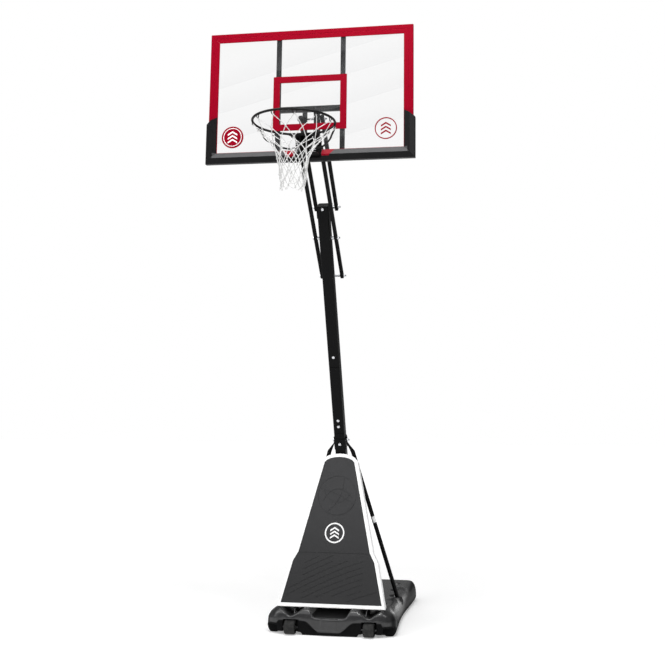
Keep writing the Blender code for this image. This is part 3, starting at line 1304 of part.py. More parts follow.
def build_frame(m):
    """Square tubes behind the sheet: four mitred edges, two uprights and a crossbar between them."""
    front = BOARD_FACE_Y + SHEET_THICKNESS + GAP
    back = front + FRAME_TUBE
    near = TRIM_SIDE + GAP
    far = near + FRAME_TUBE
    r = 0.003
    middle_inset = (near + far) / 2
    middle_y = (front + back) / 2
    outer = [(middle_inset + u, middle_y + v) for u, v in rounded_rectangle(FRAME_TUBE, FRAME_TUBE, r, 1)]
    bore_width = FRAME_TUBE - 2 * FRAME_WALL
    bore = [(middle_inset + u, middle_y + v)
            for u, v in rounded_rectangle(bore_width, bore_width, r - FRAME_WALL, 1)]
    for name, edge in board_edges().items():
        mitred_bar(f"frame_{name}", edge, outer, m["black_paint"], bore)
    low = BOARD_BOTTOM + far + GAP
    high = BOARD_TOP - far - GAP
    centre_y = front + FRAME_TUBE / 2
    for name, side in (("upright_left", -1), ("upright_right", 1)):
        x = side * UPRIGHT_X
        hollow_tube(name, UPRIGHT_WIDTH, FRAME_TUBE, r, FRAME_WALL, Vector((x, centre_y, low)),
                    Vector((x, centre_y, high)), X_AXIS, m["black_paint"])
    inside = UPRIGHT_X - UPRIGHT_WIDTH / 2 - GAP
    return hollow_tube("crossbar", CROSSBAR_WIDTH, FRAME_TUBE, r, FRAME_WALL,
                       Vector((-inside, centre_y, CROSSBAR_HEIGHT)),
                       Vector((inside, centre_y, CROSSBAR_HEIGHT)), Z_AXIS, m["black_paint"])


def build_hinge_plate(name, side, m):
    """A plate that stands out behind the frame and carries both board pivots, with a foot on the frame."""
    front = BOARD_FACE_Y + SHEET_THICKNESS + FRAME_TUBE + 2 * GAP
    top = CROSSBAR_HEIGHT + CROSSBAR_WIDTH / 2
    bottom = BOARD_BOTTOM + 0.004
    reach = BOARD_PIVOT.y + 0.022
    outline = rounded_corners([(front, bottom), (front + 0.020, bottom), (reach, BOARD_PIVOT.z - 0.030),
                               (reach, BOARD_UPPER_PIVOT.z + 0.020), (front + 0.012, top), (front, top)],
                              (0.0, 0.006, 0.015, 0.015, 0.006, 0.0), steps=3)
    x = side * HINGE_PLATE_X
    low = x - HINGE_PLATE_WALL / 2
    plate = extruded(name, outline, low, low + HINGE_PLATE_WALL, side_on, m["black_paint"])
    foot_in = x - side * 0.028
    foot_low = min(foot_in, x)
    foot_high = max(foot_in, x)
    foot = [(foot_low, bottom), (foot_high, bottom), (foot_high, top), (foot_low, top)]
    foot_solid = extruded(f"{name}_foot", foot, front, front + HINGE_PLATE_WALL, front_on, m["black_paint"])
    boolean(plate, foot_solid, "UNION")
    return plate


def build_board_pivots(plates, arms, m):
    left, right, upper_left, upper_right = arms
    half = ARM_WIDTH / 2
    plate_face = HINGE_PLATE_X + HINGE_PLATE_WALL / 2 + GAP
    hex_bolt("board_bolt_lower", BOARD_PIVOT, X_AXIS, 2 * (LONG_ARM_BOARD_X + half + 0.0012), PIVOT_RADIUS,
             m["zinc"], side=Y_AXIS,
             collar=(BOARD_COLLAR_RADIUS, plate_face, LONG_ARM_BOARD_X - half - 0.0010))
    hex_bolt("board_bolt_upper", BOARD_UPPER_PIVOT, X_AXIS, 2 * (SHORT_ARM_X + half + 0.0012), PIVOT_RADIUS,
             m["zinc"], side=Y_AXIS,
             collar=(BOARD_COLLAR_RADIUS, plate_face, SHORT_ARM_X - half - 0.0010))
    drill_pivot([*plates, left, right], BOARD_PIVOT)
    drill_pivot([*plates, upper_left, upper_right], BOARD_UPPER_PIVOT)


# Bumper

def bumper_profile():
    """(inset from the bumper's outer edge, y): a roof section that wraps the board's edge."""
    seat = BOARD_FACE_Y - TRIM_THICKNESS - 2 * GAP
    back = BOARD_FACE_Y + BUMPER_WRAP
    inner = BUMPER_OVERLAP - GAP
    crown = seat - BUMPER_STANDS_OUT
    return [(0.002, back), (0.0, back - 0.004), (0.0, seat - 0.004), (0.003, seat - 0.009),
            (BUMPER_RIDGE - 0.003, crown + 0.0015), (BUMPER_RIDGE, crown),
            (BUMPER_RIDGE + 0.003, crown + 0.0010), (BUMPER_BAND - 0.001, seat - 0.006),
            (BUMPER_BAND, seat - 0.004), (BUMPER_BAND, seat), (inner, seat), (inner, back)]


def build_bumper_corner(name, side, m):
    """One side of the bumper: down the board's edge, round its corner and along its bottom."""
    half = board_half() + BUMPER_OVERLAP
    floor = BOARD_BOTTOM - BUMPER_OVERLAP
    rings = [[], [], []]
    for inset, y in bumper_profile():
        slant = BUMPER_TOP - BUMPER_TOP_SLANT * (1.0 - inset / BUMPER_BAND)
        rings[0].append(Vector((side * (half - inset), y, slant)))
        rings[1].append(Vector((side * (half - inset), y, floor + inset)))
        rings[2].append(Vector((side * (BUMPER_JOINT_X + GAP), y, floor + inset)))
    return lofted(name, rings, m["bumper_pad"])


def build_bumper_centre(m):
    """The middle of the bumper, deeper below the rim, and cut out round the rim's back plate."""
    floor = BOARD_BOTTOM - BUMPER_OVERLAP
    stations = ((-BUMPER_JOINT_X, 0.0), (-0.135, 0.0), (-0.115, 1.0), (0.115, 1.0), (0.135, 0.0),
                (BUMPER_JOINT_X, 0.0))
    rings = []
    for x, share in stations:
        ring = []
        for inset, y in bumper_profile():
            drop = share * BUMPER_CENTRE_DROP * max(1.0 - inset / BUMPER_OVERLAP, 0.0)
            ring.append(Vector((x, y, floor + inset - drop)))
        rings.append(ring)
    bumper = lofted("bumper_centre", rings, m["bumper_pad"])
    opening = RIM_PLATE_HALF + 0.002
    low = BOARD_BOTTOM + 0.002
    high = BOARD_BOTTOM + 2 * BUMPER_BAND
    reach = 3 * BUMPER_STANDS_OUT
    cut = [(-opening, low), (opening, low), (opening, high), (-opening, high)]
    boolean(bumper, extruded("bumper_rim_cut", cut, BOARD_FACE_Y - reach, BOARD_FACE_Y + reach, front_on,
                             m["bumper_pad"]))
    return bumper


# Rim

def build_rim_plate(m):
    """The back plate that bolts the rim on: a plate, two hinge ears and a shelf under the springs."""
    seat = BOARD_FACE_Y - TRIM_THICKNESS - 2 * GAP
    face = seat - RIM_PLATE_WALL
    half = RIM_PLATE_HALF
    top = RIM_HEIGHT + RIM_PLATE_ABOVE
    bottom = RIM_HEIGHT - RIM_PLATE_BELOW
    outline = rounded_corners([(-half, bottom), (half, bottom), (half, top), (-half, top)],
                              (0.006,) * 4, steps=2)
    plate = extruded("rim_plate", outline, face, seat, front_on, m["rim_paint"])
    shelf_top = SPRING_BOTTOM - GAP
    shelf_front = SPRING_Y - SPRING_RADIUS - 0.0055
    shelf = [(face + 0.001, shelf_top - SHELF_WALL), (face + 0.001, shelf_top), (shelf_front, shelf_top),
             (shelf_front, shelf_top - SHELF_WALL)]
    shelf_half = half - 0.006
    boolean(plate, extruded("rim_shelf", shelf, -shelf_half, shelf_half, side_on, m["rim_paint"]), "UNION")
    ear_low = RIM_HINGE.z - 0.016
    ear_high = RIM_HINGE.z + 0.013
    ear_front = RIM_HINGE.y - 0.011
    for side in (-1, 1):
        ear = rounded_corners([(face + 0.001, ear_low), (ear_front, ear_low), (ear_front, ear_high),
                               (face + 0.001, ear_high)], (0.0, 0.009, 0.009, 0.0), steps=3)
        low = side * RIM_EAR_X - RIM_EAR_WALL / 2
        ear_solid = extruded(f"rim_ear_{side}", ear, low, low + RIM_EAR_WALL, side_on, m["rim_paint"])
        boolean(plate, ear_solid, "UNION")
    drill([plate], RIM_HINGE, X_AXIS, BOLT_RADIUS + HOLE_PLAY, 4 * RIM_EAR_X, side=Y_AXIS)
    grip = 2 * RIM_EAR_X + RIM_EAR_WALL + 2 * GAP
    hex_bolt("rim_hinge_bolt", RIM_HINGE, X_AXIS, grip, BOLT_RADIUS, m["rim_paint"], side=Y_AXIS)
    return plate


def build_rim(m):
    """The ring, its U-shaped brace, the top plate, the hinge barrel and the lugs that press the springs."""
    rod = [RIM_CENTRE + Vector((RIM_CENTRE_RADIUS * math.cos(a), RIM_CENTRE_RADIUS * math.sin(a), 0.0))
           for a in (math.tau * i / RIM_STEPS for i in range(RIM_STEPS))]
    rim = lofted("rim", swept_tube(rod, RIM_ROD_RADIUS, 8, closed=True), m["rim_paint"], closed=True,
                 sharp_angle=60.0)
    add_brace(rim, m)
    add_top_plate(rim, m)
    add_hooks(rim, m)
    return rim


def add_brace(rim, m):
    """The rod that leaves the ring at its sides, drops, and runs back level to the gussets.

    Each station is an angle round the ring, a share of the ring's radius, and a drop below it.
    """
    r = RIM_CENTRE_RADIUS
    c = RIM_CENTRE
    half = []
    stations = ((168.5, 0.994, 0.001), (158.2, 0.998, 0.022), (153.8, 0.945, 0.056), (145.6, 0.961, 0.065),
                (133.9, 0.994, 0.072), (119.9, 1.074, 0.080), (110.5, 1.075, 0.084))
    for angle, share, drop in stations:
        a = math.radians(angle)
        half.append(c + Vector((r * share * math.cos(a), r * share * math.sin(a), -drop)))
    half.append(Vector((-2.5 * GUSSET_X, GUSSET_FRONT_Y - 0.021, c.z - 0.082)))
    half.append(Vector((-GUSSET_X, GUSSET_FRONT_Y, c.z - GUSSET_DROP + 0.004)))
    mirrored = [Vector((-p.x, p.y, p.z)) for p in reversed(half)]
    path = smooth_curve(half + mirrored, 2)
    brace = lofted("brace_rod", swept_tube(path, BRACE_ROD_RADIUS, 8), m["rim_paint"], sharp_angle=60.0)
    boolean(rim, brace, "UNION")


def add_top_plate(rim, m):
    """A folded plate from the hinge barrel to the ring, tapering outward, with a down-turned gusset."""
    c = RIM_CENTRE
    r = RIM_CENTRE_RADIUS
    level = c.z + 0.003
    back = RIM_HINGE.y - 0.004
    touch = math.radians(62.0)
    front_x = r * math.cos(touch)
    front_y = c.y + r * math.sin(touch)
    rear_x = TOP_PLATE_HALF
    outline = rounded_corners([(-rear_x, back), (-front_x, front_y), (-front_x * 0.5, c.y + r * 0.93),
                               (front_x * 0.5, c.y + r * 0.93), (front_x, front_y), (rear_x, back)],
                              (0.0, 0.006, 0.05, 0.05, 0.006, 0.0), steps=3)
    plate = extruded("rim_top_plate", outline, level - 0.002, level + 0.002, world, m["rim_paint"])
    boolean(rim, plate, "UNION")
    place = frame_at(RIM_HINGE, X_AXIS, Y_AXIS)
    profile = [(BARREL_RADIUS, -BARREL_HALF), (BARREL_RADIUS, BARREL_HALF)]
    barrel = turned("rim_barrel", profile, place, 16, m["rim_paint"])
    boolean(rim, barrel, "UNION")
    for side in (-1, 1):
        gusset = rounded_corners([(RIM_HINGE.y - 0.004, level), (c.y + r + 0.004, level),
                                  (c.y + r + 0.006, level - 0.020),
                                  (GUSSET_FRONT_Y - 0.002, c.z - GUSSET_DROP),
                                  (RIM_HINGE.y - 0.020, c.z - GUSSET_DROP - 0.004),
                                  (RIM_HINGE.y - 0.010, c.z - 0.030)],
                                 (0.0, 0.0, 0.010, 0.006, 0.006, 0.0), steps=3)
        low = side * GUSSET_X - GUSSET_WALL / 2
        boolean(rim, extruded(f"rim_gusset_{side}", gusset, low, low + GUSSET_WALL, side_on, m["rim_paint"]),
                "UNION")
        cup = frame_at(Vector((side * SPRING_X, SPRING_Y, SPRING_TOP + GAP)), Z_AXIS)
        profile = [(SPRING_RADIUS + 0.002, 0.0), (SPRING_RADIUS + 0.002, 0.014)]
        lug = turned(f"spring_lug_{side}", profile, cup, 16, m["rim_paint"])
        boolean(rim, lug, "UNION")
    drill([rim], RIM_HINGE, X_AXIS, BOLT_RADIUS + HOLE_PLAY, 4 * RIM_EAR_X, side=Y_AXIS)


def hook_angle(number):
    return math.tau * (number + 0.5) / HOOK_COUNT


def add_hooks(rim, m):
    """Round wire loops under the ring, one for each top loop of the net."""
    for number in range(HOOK_COUNT):
        angle = hook_angle(number)
        outward = Vector((math.cos(angle), math.sin(angle), 0.0))
        along = Vector((-math.sin(angle), math.cos(angle), 0.0))
        base = RIM_CENTRE + outward * (RIM_CENTRE_RADIUS - HOOK_INSET)
        path = []
        for step in range(6):
            t = math.pi * step / 5
            fall = RIM_ROD_RADIUS * 0.6 + HOOK_DROP * math.sin(t)
            path.append(base + along * HOOK_HALF_WIDTH * math.cos(t) - Vector((0, 0, fall)))
        hook = lofted(f"hook_{number}", swept_tube(path, HOOK_RADIUS, 5), m["rim_paint"], sharp_angle=70.0)
        boolean(rim, hook, "UNION")


def build_spring(name, side, m):
    """A coil spring between the shelf and the rim's lug, with its ends wound flat."""
    points_per_curl = 10
    total = SPRING_CURLS * points_per_curl
    height = SPRING_TOP - SPRING_BOTTOM - 2 * SPRING_WIRE
    radius = SPRING_RADIUS - SPRING_WIRE
    centre = Vector((side * SPRING_X, SPRING_Y, SPRING_BOTTOM + SPRING_WIRE))
    path = []
    for i in range(total + 1):
        turn = math.tau * i / points_per_curl
        across = Vector((radius * math.cos(turn), side * radius * math.sin(turn), 0.0))
        path.append(centre + across + height * i / total * Z_AXIS)
    pitch = height / SPRING_CURLS
    print(name, "least gap between curls", round((pitch - 2 * SPRING_WIRE) * 1000, 2), "mm")
    curve = bpy.data.curves.new(name, "CURVE")
    curve.dimensions = "3D"
    curve.bevel_depth = SPRING_WIRE
    curve.bevel_resolution = 1
    curve.use_fill_caps = True
    curve.materials.append(m["zinc"])
    spline = curve.splines.new("POLY")
    spline.points.add(len(path) - 1)
    for point, place in zip(spline.points, path):
        point.co = (*place, 1.0)
    spring = bpy.data.objects.new(name, curve)
    bpy.context.scene.collection.objects.link(spring)
    return spring


# Net

def net_radius(share):
    """The net's radius from its hooks down: a cone that narrows to a nearly straight skirt."""
    top_radius = RIM_CENTRE_RADIUS - HOOK_INSET
    if share < NET_NECK_SHARE:
        t = share / NET_NECK_SHARE
        return top_radius + (NET_NECK_RADIUS - top_radius) * math.sin(t * math.pi / 2) ** 0.9
    t = (share - NET_NECK_SHARE) / (1.0 - NET_NECK_SHARE)
    return NET_NECK_RADIUS + (NET_BOTTOM_RADIUS - NET_NECK_RADIUS) * t


def build_net(m):
    """A diamond mesh of cord, one loop for each hook, as a lattice given thickness."""
    bm = bmesh.new()
    top = RIM_CENTRE.z - RIM_ROD_RADIUS * 0.6 - HOOK_DROP - HOOK_RADIUS - NET_KNOT_RISE - GAP
    rows = []
    for row in range(NET_ROWS + 1):
        share = row / NET_ROWS
        radius = net_radius(share)
        ring = []
        for i in range(HOOK_COUNT):
            angle = hook_angle(i + 0.5 * (row % 2))
            x = RIM_CENTRE.x + radius * math.cos(angle)
            y = RIM_CENTRE.y + radius * math.sin(angle)
            ring.append(bm.verts.new((x, y, top - NET_LENGTH * share)))
        rows.append(ring)
    for row in range(NET_ROWS - 1):
        for i in range(HOOK_COUNT):
            shift = 0 if row % 2 == 1 else -1
            side_left = rows[row + 1][(i + shift) % HOOK_COUNT]
            side_right = rows[row + 1][(i + shift + 1) % HOOK_COUNT]
            bm.faces.new((rows[row][i], side_left, rows[row + 2][i], side_right))
    net = finish("net", bm, m["net_cord"])
    wire = net.modifiers.new("cord", "WIREFRAME")
    wire.thickness = NET_CORD
    wire.use_even_offset = True
    wire.use_boundary = True
    wire.use_replace = True
    return net


# Moving pieces hang on empties that stand on their joints

def pivot(name, location):
    empty = bpy.data.objects.new(name, None)
    empty.location = location
    bpy.context.scene.collection.objects.link(empty)
    bpy.context.view_layer.update()
    return empty


def carry(empty, names):
    for name in names:
        obj = bpy.data.objects[name]
        obj.parent = empty
        obj.matrix_parent_inverse = empty.matrix_world.inverted()


def carry_moving_pieces():
    lift = pivot("lift_joint", LIFT_PIVOT)
    carry(lift, ("long_arm_left", "long_arm_right", "tail_bolt"))
    upper = pivot("upper_arm_joint", UPPER_PIVOT)
    carry(upper, ("short_arm_left", "short_arm_right"))
    lock = pivot("lock_bar_joint", TAIL_PIVOT)
    carry(lock, ("lock_bar", "lock_grip"))
    board = pivot("board_joint", BOARD_PIVOT)
    board_names = ["acrylic_sheet", "upright_left", "upright_right", "crossbar", "hinge_plate_left",
                   "hinge_plate_right", "board_bolt_lower", "board_bolt_upper", "bumper_left", "bumper_right",
                   "bumper_centre", "rim_plate", "rim_hinge_bolt", "spring_left", "spring_right"]
    for part in ("trim", "frame"):
        board_names += [f"{part}_{edge}" for edge in ("left", "right", "top", "bottom")]
    carry(board, board_names)
    rim = pivot("rim_joint", RIM_HINGE)
    carry(rim, ("rim", "net"))
    for name, side in (("wheel_left", -1), ("wheel_right", 1)):
        carry(pivot(f"{name}_joint", Vector((side * WHEEL_X, WHEEL_Y, WHEEL_CENTRE_HEIGHT))), (name,))
    carry(pivot("filler_joint", FILLER_PLACE), ("filler_plug",))


def main():
    clear_scene()
    m = make_materials()
    build_tank(m)
    build_filler_plug(m)
    build_axle(m)
    build_wheel("wheel_left", -1, m)
    build_wheel("wheel_right", 1, m)
    lower, middle, upper = build_pole(m)
    build_pole_cap(m)
    build_pole_bolts((lower, middle, upper), m)
    collar = build_foot_collar(m)
    build_foot_bolt(collar, lower, m)
    clamp = build_stay_clamp(lower, m)
    stays = [build_stay("stay_left", -1, m), build_stay("stay_right", 1, m)]
    build_stay_bolt([clamp, lower, *stays], m)
    build_shroud(m)
    build_shroud_panel(m)
    bracket = build_top_bracket(upper, m)
    arms = build_lift(upper, bracket, m)
    build_lock_bar(m)
    build_lock_guide(m)
    build_sheet(m)
    build_trims(m)
    build_frame(m)
    plates = [build_hinge_plate("hinge_plate_left", -1, m), build_hinge_plate("hinge_plate_right", 1, m)]
    build_board_pivots(plates, arms, m)
    build_bumper_corner("bumper_left", -1, m)
    build_bumper_corner("bumper_right", 1, m)
    build_bumper_centre(m)
    build_rim_plate(m)
    build_rim(m)
    build_spring("spring_left", -1, m)
    build_spring("spring_right", 1, m)
    build_net(m)
    carry_moving_pieces()


main()
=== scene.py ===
# %% [markdown]
# # A portable basketball stand, dressed for a studio picture
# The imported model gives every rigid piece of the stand, at the place and size worked out from a photograph.
# This lesson adds what a CAD solid has no room for: the finishes of moulded plastic, powder coat, zinc and
# acrylic, the knotted net, the wound springs, the weld beads and the paint on the board.

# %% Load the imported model
import json
import math
import random

import bpy
from mathutils import Matrix, Vector
from mathutils.bvhtree import BVHTree


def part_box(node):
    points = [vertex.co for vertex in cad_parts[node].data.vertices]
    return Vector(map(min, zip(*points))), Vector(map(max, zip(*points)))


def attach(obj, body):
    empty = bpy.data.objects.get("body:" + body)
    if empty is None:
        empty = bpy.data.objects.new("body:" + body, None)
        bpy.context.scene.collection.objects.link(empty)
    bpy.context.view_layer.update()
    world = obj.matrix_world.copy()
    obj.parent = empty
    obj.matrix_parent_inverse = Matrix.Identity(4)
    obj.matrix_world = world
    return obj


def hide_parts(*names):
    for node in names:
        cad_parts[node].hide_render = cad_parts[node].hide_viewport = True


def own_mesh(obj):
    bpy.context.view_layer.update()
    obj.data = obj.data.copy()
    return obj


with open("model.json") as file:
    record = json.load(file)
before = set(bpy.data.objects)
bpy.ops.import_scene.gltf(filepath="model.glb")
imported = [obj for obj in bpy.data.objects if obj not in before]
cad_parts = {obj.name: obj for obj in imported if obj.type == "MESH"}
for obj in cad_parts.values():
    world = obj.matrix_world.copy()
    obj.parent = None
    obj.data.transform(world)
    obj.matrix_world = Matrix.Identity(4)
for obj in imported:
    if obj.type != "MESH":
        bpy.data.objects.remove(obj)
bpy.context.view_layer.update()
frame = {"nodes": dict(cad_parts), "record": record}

NODES = frame["nodes"]

# %% [markdown]
# ## The camera
# A photograph fixes one view. The camera stands in front of the stand, a little to its right and at chest
# height, and looks slightly upwards. Its place was worked out from the ring, the board's corners and the
# floor line. A small shift of the lens then puts the stand where the photograph has it in the frame.

# %% Place the camera
CAMERA_PLACE = Vector((1.2227, -6.5626, 1.4615))
CAMERA_TURN = math.radians(8.6601)
CAMERA_RISE = math.radians(7.7844)
CAMERA_ROLL = math.radians(0.3451)
FOCAL_PIXELS = 903.8
FRAME_PIXELS = 665
AXIS_PIXEL = (379.6, 284.0)
SENSOR_WIDTH = 36.0


def camera_directions():
    """The camera's right, up and forward directions."""
    forward = Vector((
        -math.sin(CAMERA_TURN) * math.cos(CAMERA_RISE),
        math.cos(CAMERA_TURN) * math.cos(CAMERA_RISE),
        math.sin(CAMERA_RISE),
    ))
    level = Vector((math.cos(CAMERA_TURN), math.sin(CAMERA_TURN), 0.0))
    upright = level.cross(forward)
    right = level * math.cos(CAMERA_ROLL) + upright * math.sin(CAMERA_ROLL)
    up = upright * math.cos(CAMERA_ROLL) - level * math.sin(CAMERA_ROLL)
    return right, up, forward


def add_camera():
    """The scene's camera, at the photograph's view."""
    data = bpy.data.cameras.new("camera")
    camera = bpy.data.objects.new("camera", data)
    bpy.context.scene.collection.objects.link(camera)
    right, up, forward = camera_directions()
    turn = Matrix((right, up, -forward)).transposed()
    camera.matrix_world = Matrix.Translation(CAMERA_PLACE) @ turn.to_4x4()
    data.sensor_width = SENSOR_WIDTH
    data.lens = FOCAL_PIXELS / FRAME_PIXELS * SENSOR_WIDTH
    data.shift_x = (FRAME_PIXELS / 2 - AXIS_PIXEL[0]) / FRAME_PIXELS
    data.shift_y = (AXIS_PIXEL[1] - FRAME_PIXELS / 2) / FRAME_PIXELS
    bpy.context.scene.camera = camera
    return camera


camera = add_camera()
print("lens", round(camera.data.lens, 2), "mm")
print("shift", round(camera.data.shift_x, 4), round(camera.data.shift_y, 4))

# %% [markdown]
# ## Selecting by place
# Edit mode acts on what is selected. Working by hand one clicks on a piece, and in a script these helpers do
# the clicking. A modifier is applied as soon as it is added, so that the piece stays a plain mesh.

# %% Helpers for picking and finishing
def deselect_all():
    """Nothing is selected, in object mode."""
    if bpy.context.object and bpy.context.object.mode != "OBJECT":
        bpy.ops.object.mode_set(mode="OBJECT")
    bpy.ops.object.select_all(action="DESELECT")


def only(piece):
    """Makes a piece the one selected, active object."""
    deselect_all()
    piece.select_set(True)
    bpy.context.view_layer.objects.active = piece


def settle(piece, name):
    """Names a piece and moves its place and turn into its mesh."""
    only(piece)
    bpy.ops.object.transform_apply(location=True, rotation=True, scale=True)
    piece.name = name
    piece.data.name = name
    return piece


def apply_modifier(piece, kind, settings):
    """Adds a modifier with its settings and applies it to the active piece."""
    made = piece.modifiers.new(kind, kind)
    for name, value in settings.items():
        setattr(made, name, value)
    bpy.ops.object.modifier_apply(modifier=made.name)


deselect_all()
print("ready to model,", len(NODES), "CAD nodes loaded")

# %% [markdown]
# ## The studio
# The stand was photographed on white. A wide pale floor gives it something to stand on, and because the
# floor runs far past every view it needs no wall behind it.

# %% Lay the floor
FLOOR_SIZE = 60.0
FLOOR_DROP = 0.0004


def add_floor():
    """A wide floor just under the tank."""
    bpy.ops.mesh.primitive_plane_add(size=FLOOR_SIZE, location=(0.0, 0.0, -FLOOR_DROP))
    floor = settle(bpy.context.object, "studio_floor")
    return floor


studio_floor = add_floor()
print("floor", FLOOR_SIZE, "m across")

# %% [markdown]
# Soft studio light comes from large panels. One overhead lights the upper bevels of the bumper and the tank,
# and one on each side gives the tubes their long highlights. A small one in front of the stand adds short,
# sharper highlights. A wide sun lamp stands for the light that a white room throws back: it doesn't fade with
# distance, so the floor stays white far behind the stand. The room's own glow is kept low, because black
# paint mirrors it and would turn grey, and the camera sees that room as plain white.

# %% Hang the lights
LIGHT_TARGET = Vector((0.0, -0.9, 1.9))
GLOW_LIT = 0.17
GLOW_SEEN = 1.0
LIGHT_PANELS = (
    ("light_overhead", (0.2, -2.5, 6.4), (4.2, 2.6), 165),
    ("light_left", (-4.6, -4.0, 3.0), (2.0, 4.4), 60),
    ("light_right", (3.6, -3.3, 4.4), (1.4, 2.4), 60),
    ("light_key", (0.5, -3.4, 5.8), (0.45, 0.45), 50),
)
ROOM_LIGHT_PLACE = (-2.4, -5.0, 8.0)
ROOM_LIGHT_STRENGTH = 1.5
ROOM_LIGHT_SPREAD = 70.0


def aim(thing, place):
    """Puts a lamp at a place, pointed at the middle of the stand."""
    thing.location = place
    thing.rotation_euler = (LIGHT_TARGET - Vector(place)).to_track_quat("-Z", "Y").to_euler()


def add_light_panel(name, place, size, watts):
    """A rectangular soft light."""
    data = bpy.data.lights.new(name, "AREA")
    data.shape = "RECTANGLE"
    data.size = size[0]
    data.size_y = size[1]
    data.energy = watts
    panel = bpy.data.objects.new(name, data)
    bpy.context.scene.collection.objects.link(panel)
    aim(panel, place)
    return panel


def add_room_light(name, place, strength, spread):
    """A lamp so far away and so wide that it lights everything evenly."""
    data = bpy.data.lights.new(name, "SUN")
    data.energy = strength
    data.angle = math.radians(spread)
    lamp = bpy.data.objects.new(name, data)
    bpy.context.scene.collection.objects.link(lamp)
    aim(lamp, place)
    return lamp


def add_room_glow():
    """White all round: dim for what it lights, bright for the camera."""
    room = bpy.data.worlds.new("studio")
    room.use_nodes = True
    tree = room.node_tree
    glow = tree.nodes["Background"]
    glow.inputs["Color"].default_value = (1.0, 1.0, 1.0, 1.0)
    path = tree.nodes.new("ShaderNodeLightPath")
    choice = tree.nodes.new("ShaderNodeMapRange")
    choice.inputs["To Min"].default_value = GLOW_LIT
    choice.inputs["To Max"].default_value = GLOW_SEEN
    tree.links.new(path.outputs["Is Camera Ray"], choice.inputs["Value"])
    tree.links.new(choice.outputs["Result"], glow.inputs["Strength"])
    bpy.context.scene.world = room


for name, place, size, watts in LIGHT_PANELS:
    add_light_panel(name, place, size, watts)
add_room_light("light_room", ROOM_LIGHT_PLACE, ROOM_LIGHT_STRENGTH, ROOM_LIGHT_SPREAD)
add_room_glow()
bpy.context.scene.view_settings.view_transform = "Standard"

# %% [markdown]
# ## Writing finishes as sums
# A finish is a small calculation at every point of a surface: how far a point is from a line, how strong
# the grain is there. `Number` wraps a socket so that such a sum is written as a Python expression, and
# `Finish` holds one material with its principled shader.

# %% The Number and Finish helpers
class Number:
    """A varying number in a finish. Arithmetic on it adds Math nodes."""

    def __init__(self, finish, socket):
        self.finish = finish
        self.socket = socket

    def math(self, operation, *others):
        """One Math node of this number and the others."""
        values = {}
        for name, value in zip(("Value", "Value_001", "Value_002"), (self, *others)):
            values[name] = value
        made = self.finish.node("ShaderNodeMath", {"operation": operation}, values)
        return Number(self.finish, made.outputs[0])

    def __add__(self, other):
        return self.math("ADD", other)

    __radd__ = __add__

    def __mul__(self, other):
        return self.math("MULTIPLY", other)

    __rmul__ = __mul__

    def __sub__(self, other):
        return self.math("SUBTRACT", other)

    def __rsub__(self, other):
        return (self * -1.0).math("ADD", other)

    def __abs__(self):
        return self.math("ABSOLUTE")

    def below(self, limit):
        """1 where this number is below the limit, else 0."""
        return self.math("LESS_THAN", limit)

    def above(self, limit):
        """1 where this number is above the limit, else 0."""
        return self.math("GREATER_THAN", limit)

    def fade(self, low, high):
        """Rises smoothly from 0 at low to 1 at high. With high under low it falls."""
        values = {"Value": self, "From Min": low, "From Max": high}
        made = self.finish.node("ShaderNodeMapRange", {"interpolation_type": "SMOOTHSTEP"}, values)
        return Number(self.finish, made.outputs[0])


def socket_named(sockets, name):
    """The socket with that identifier."""
    for socket in sockets:
        if socket.identifier == name:
            return socket
    raise KeyError(name)


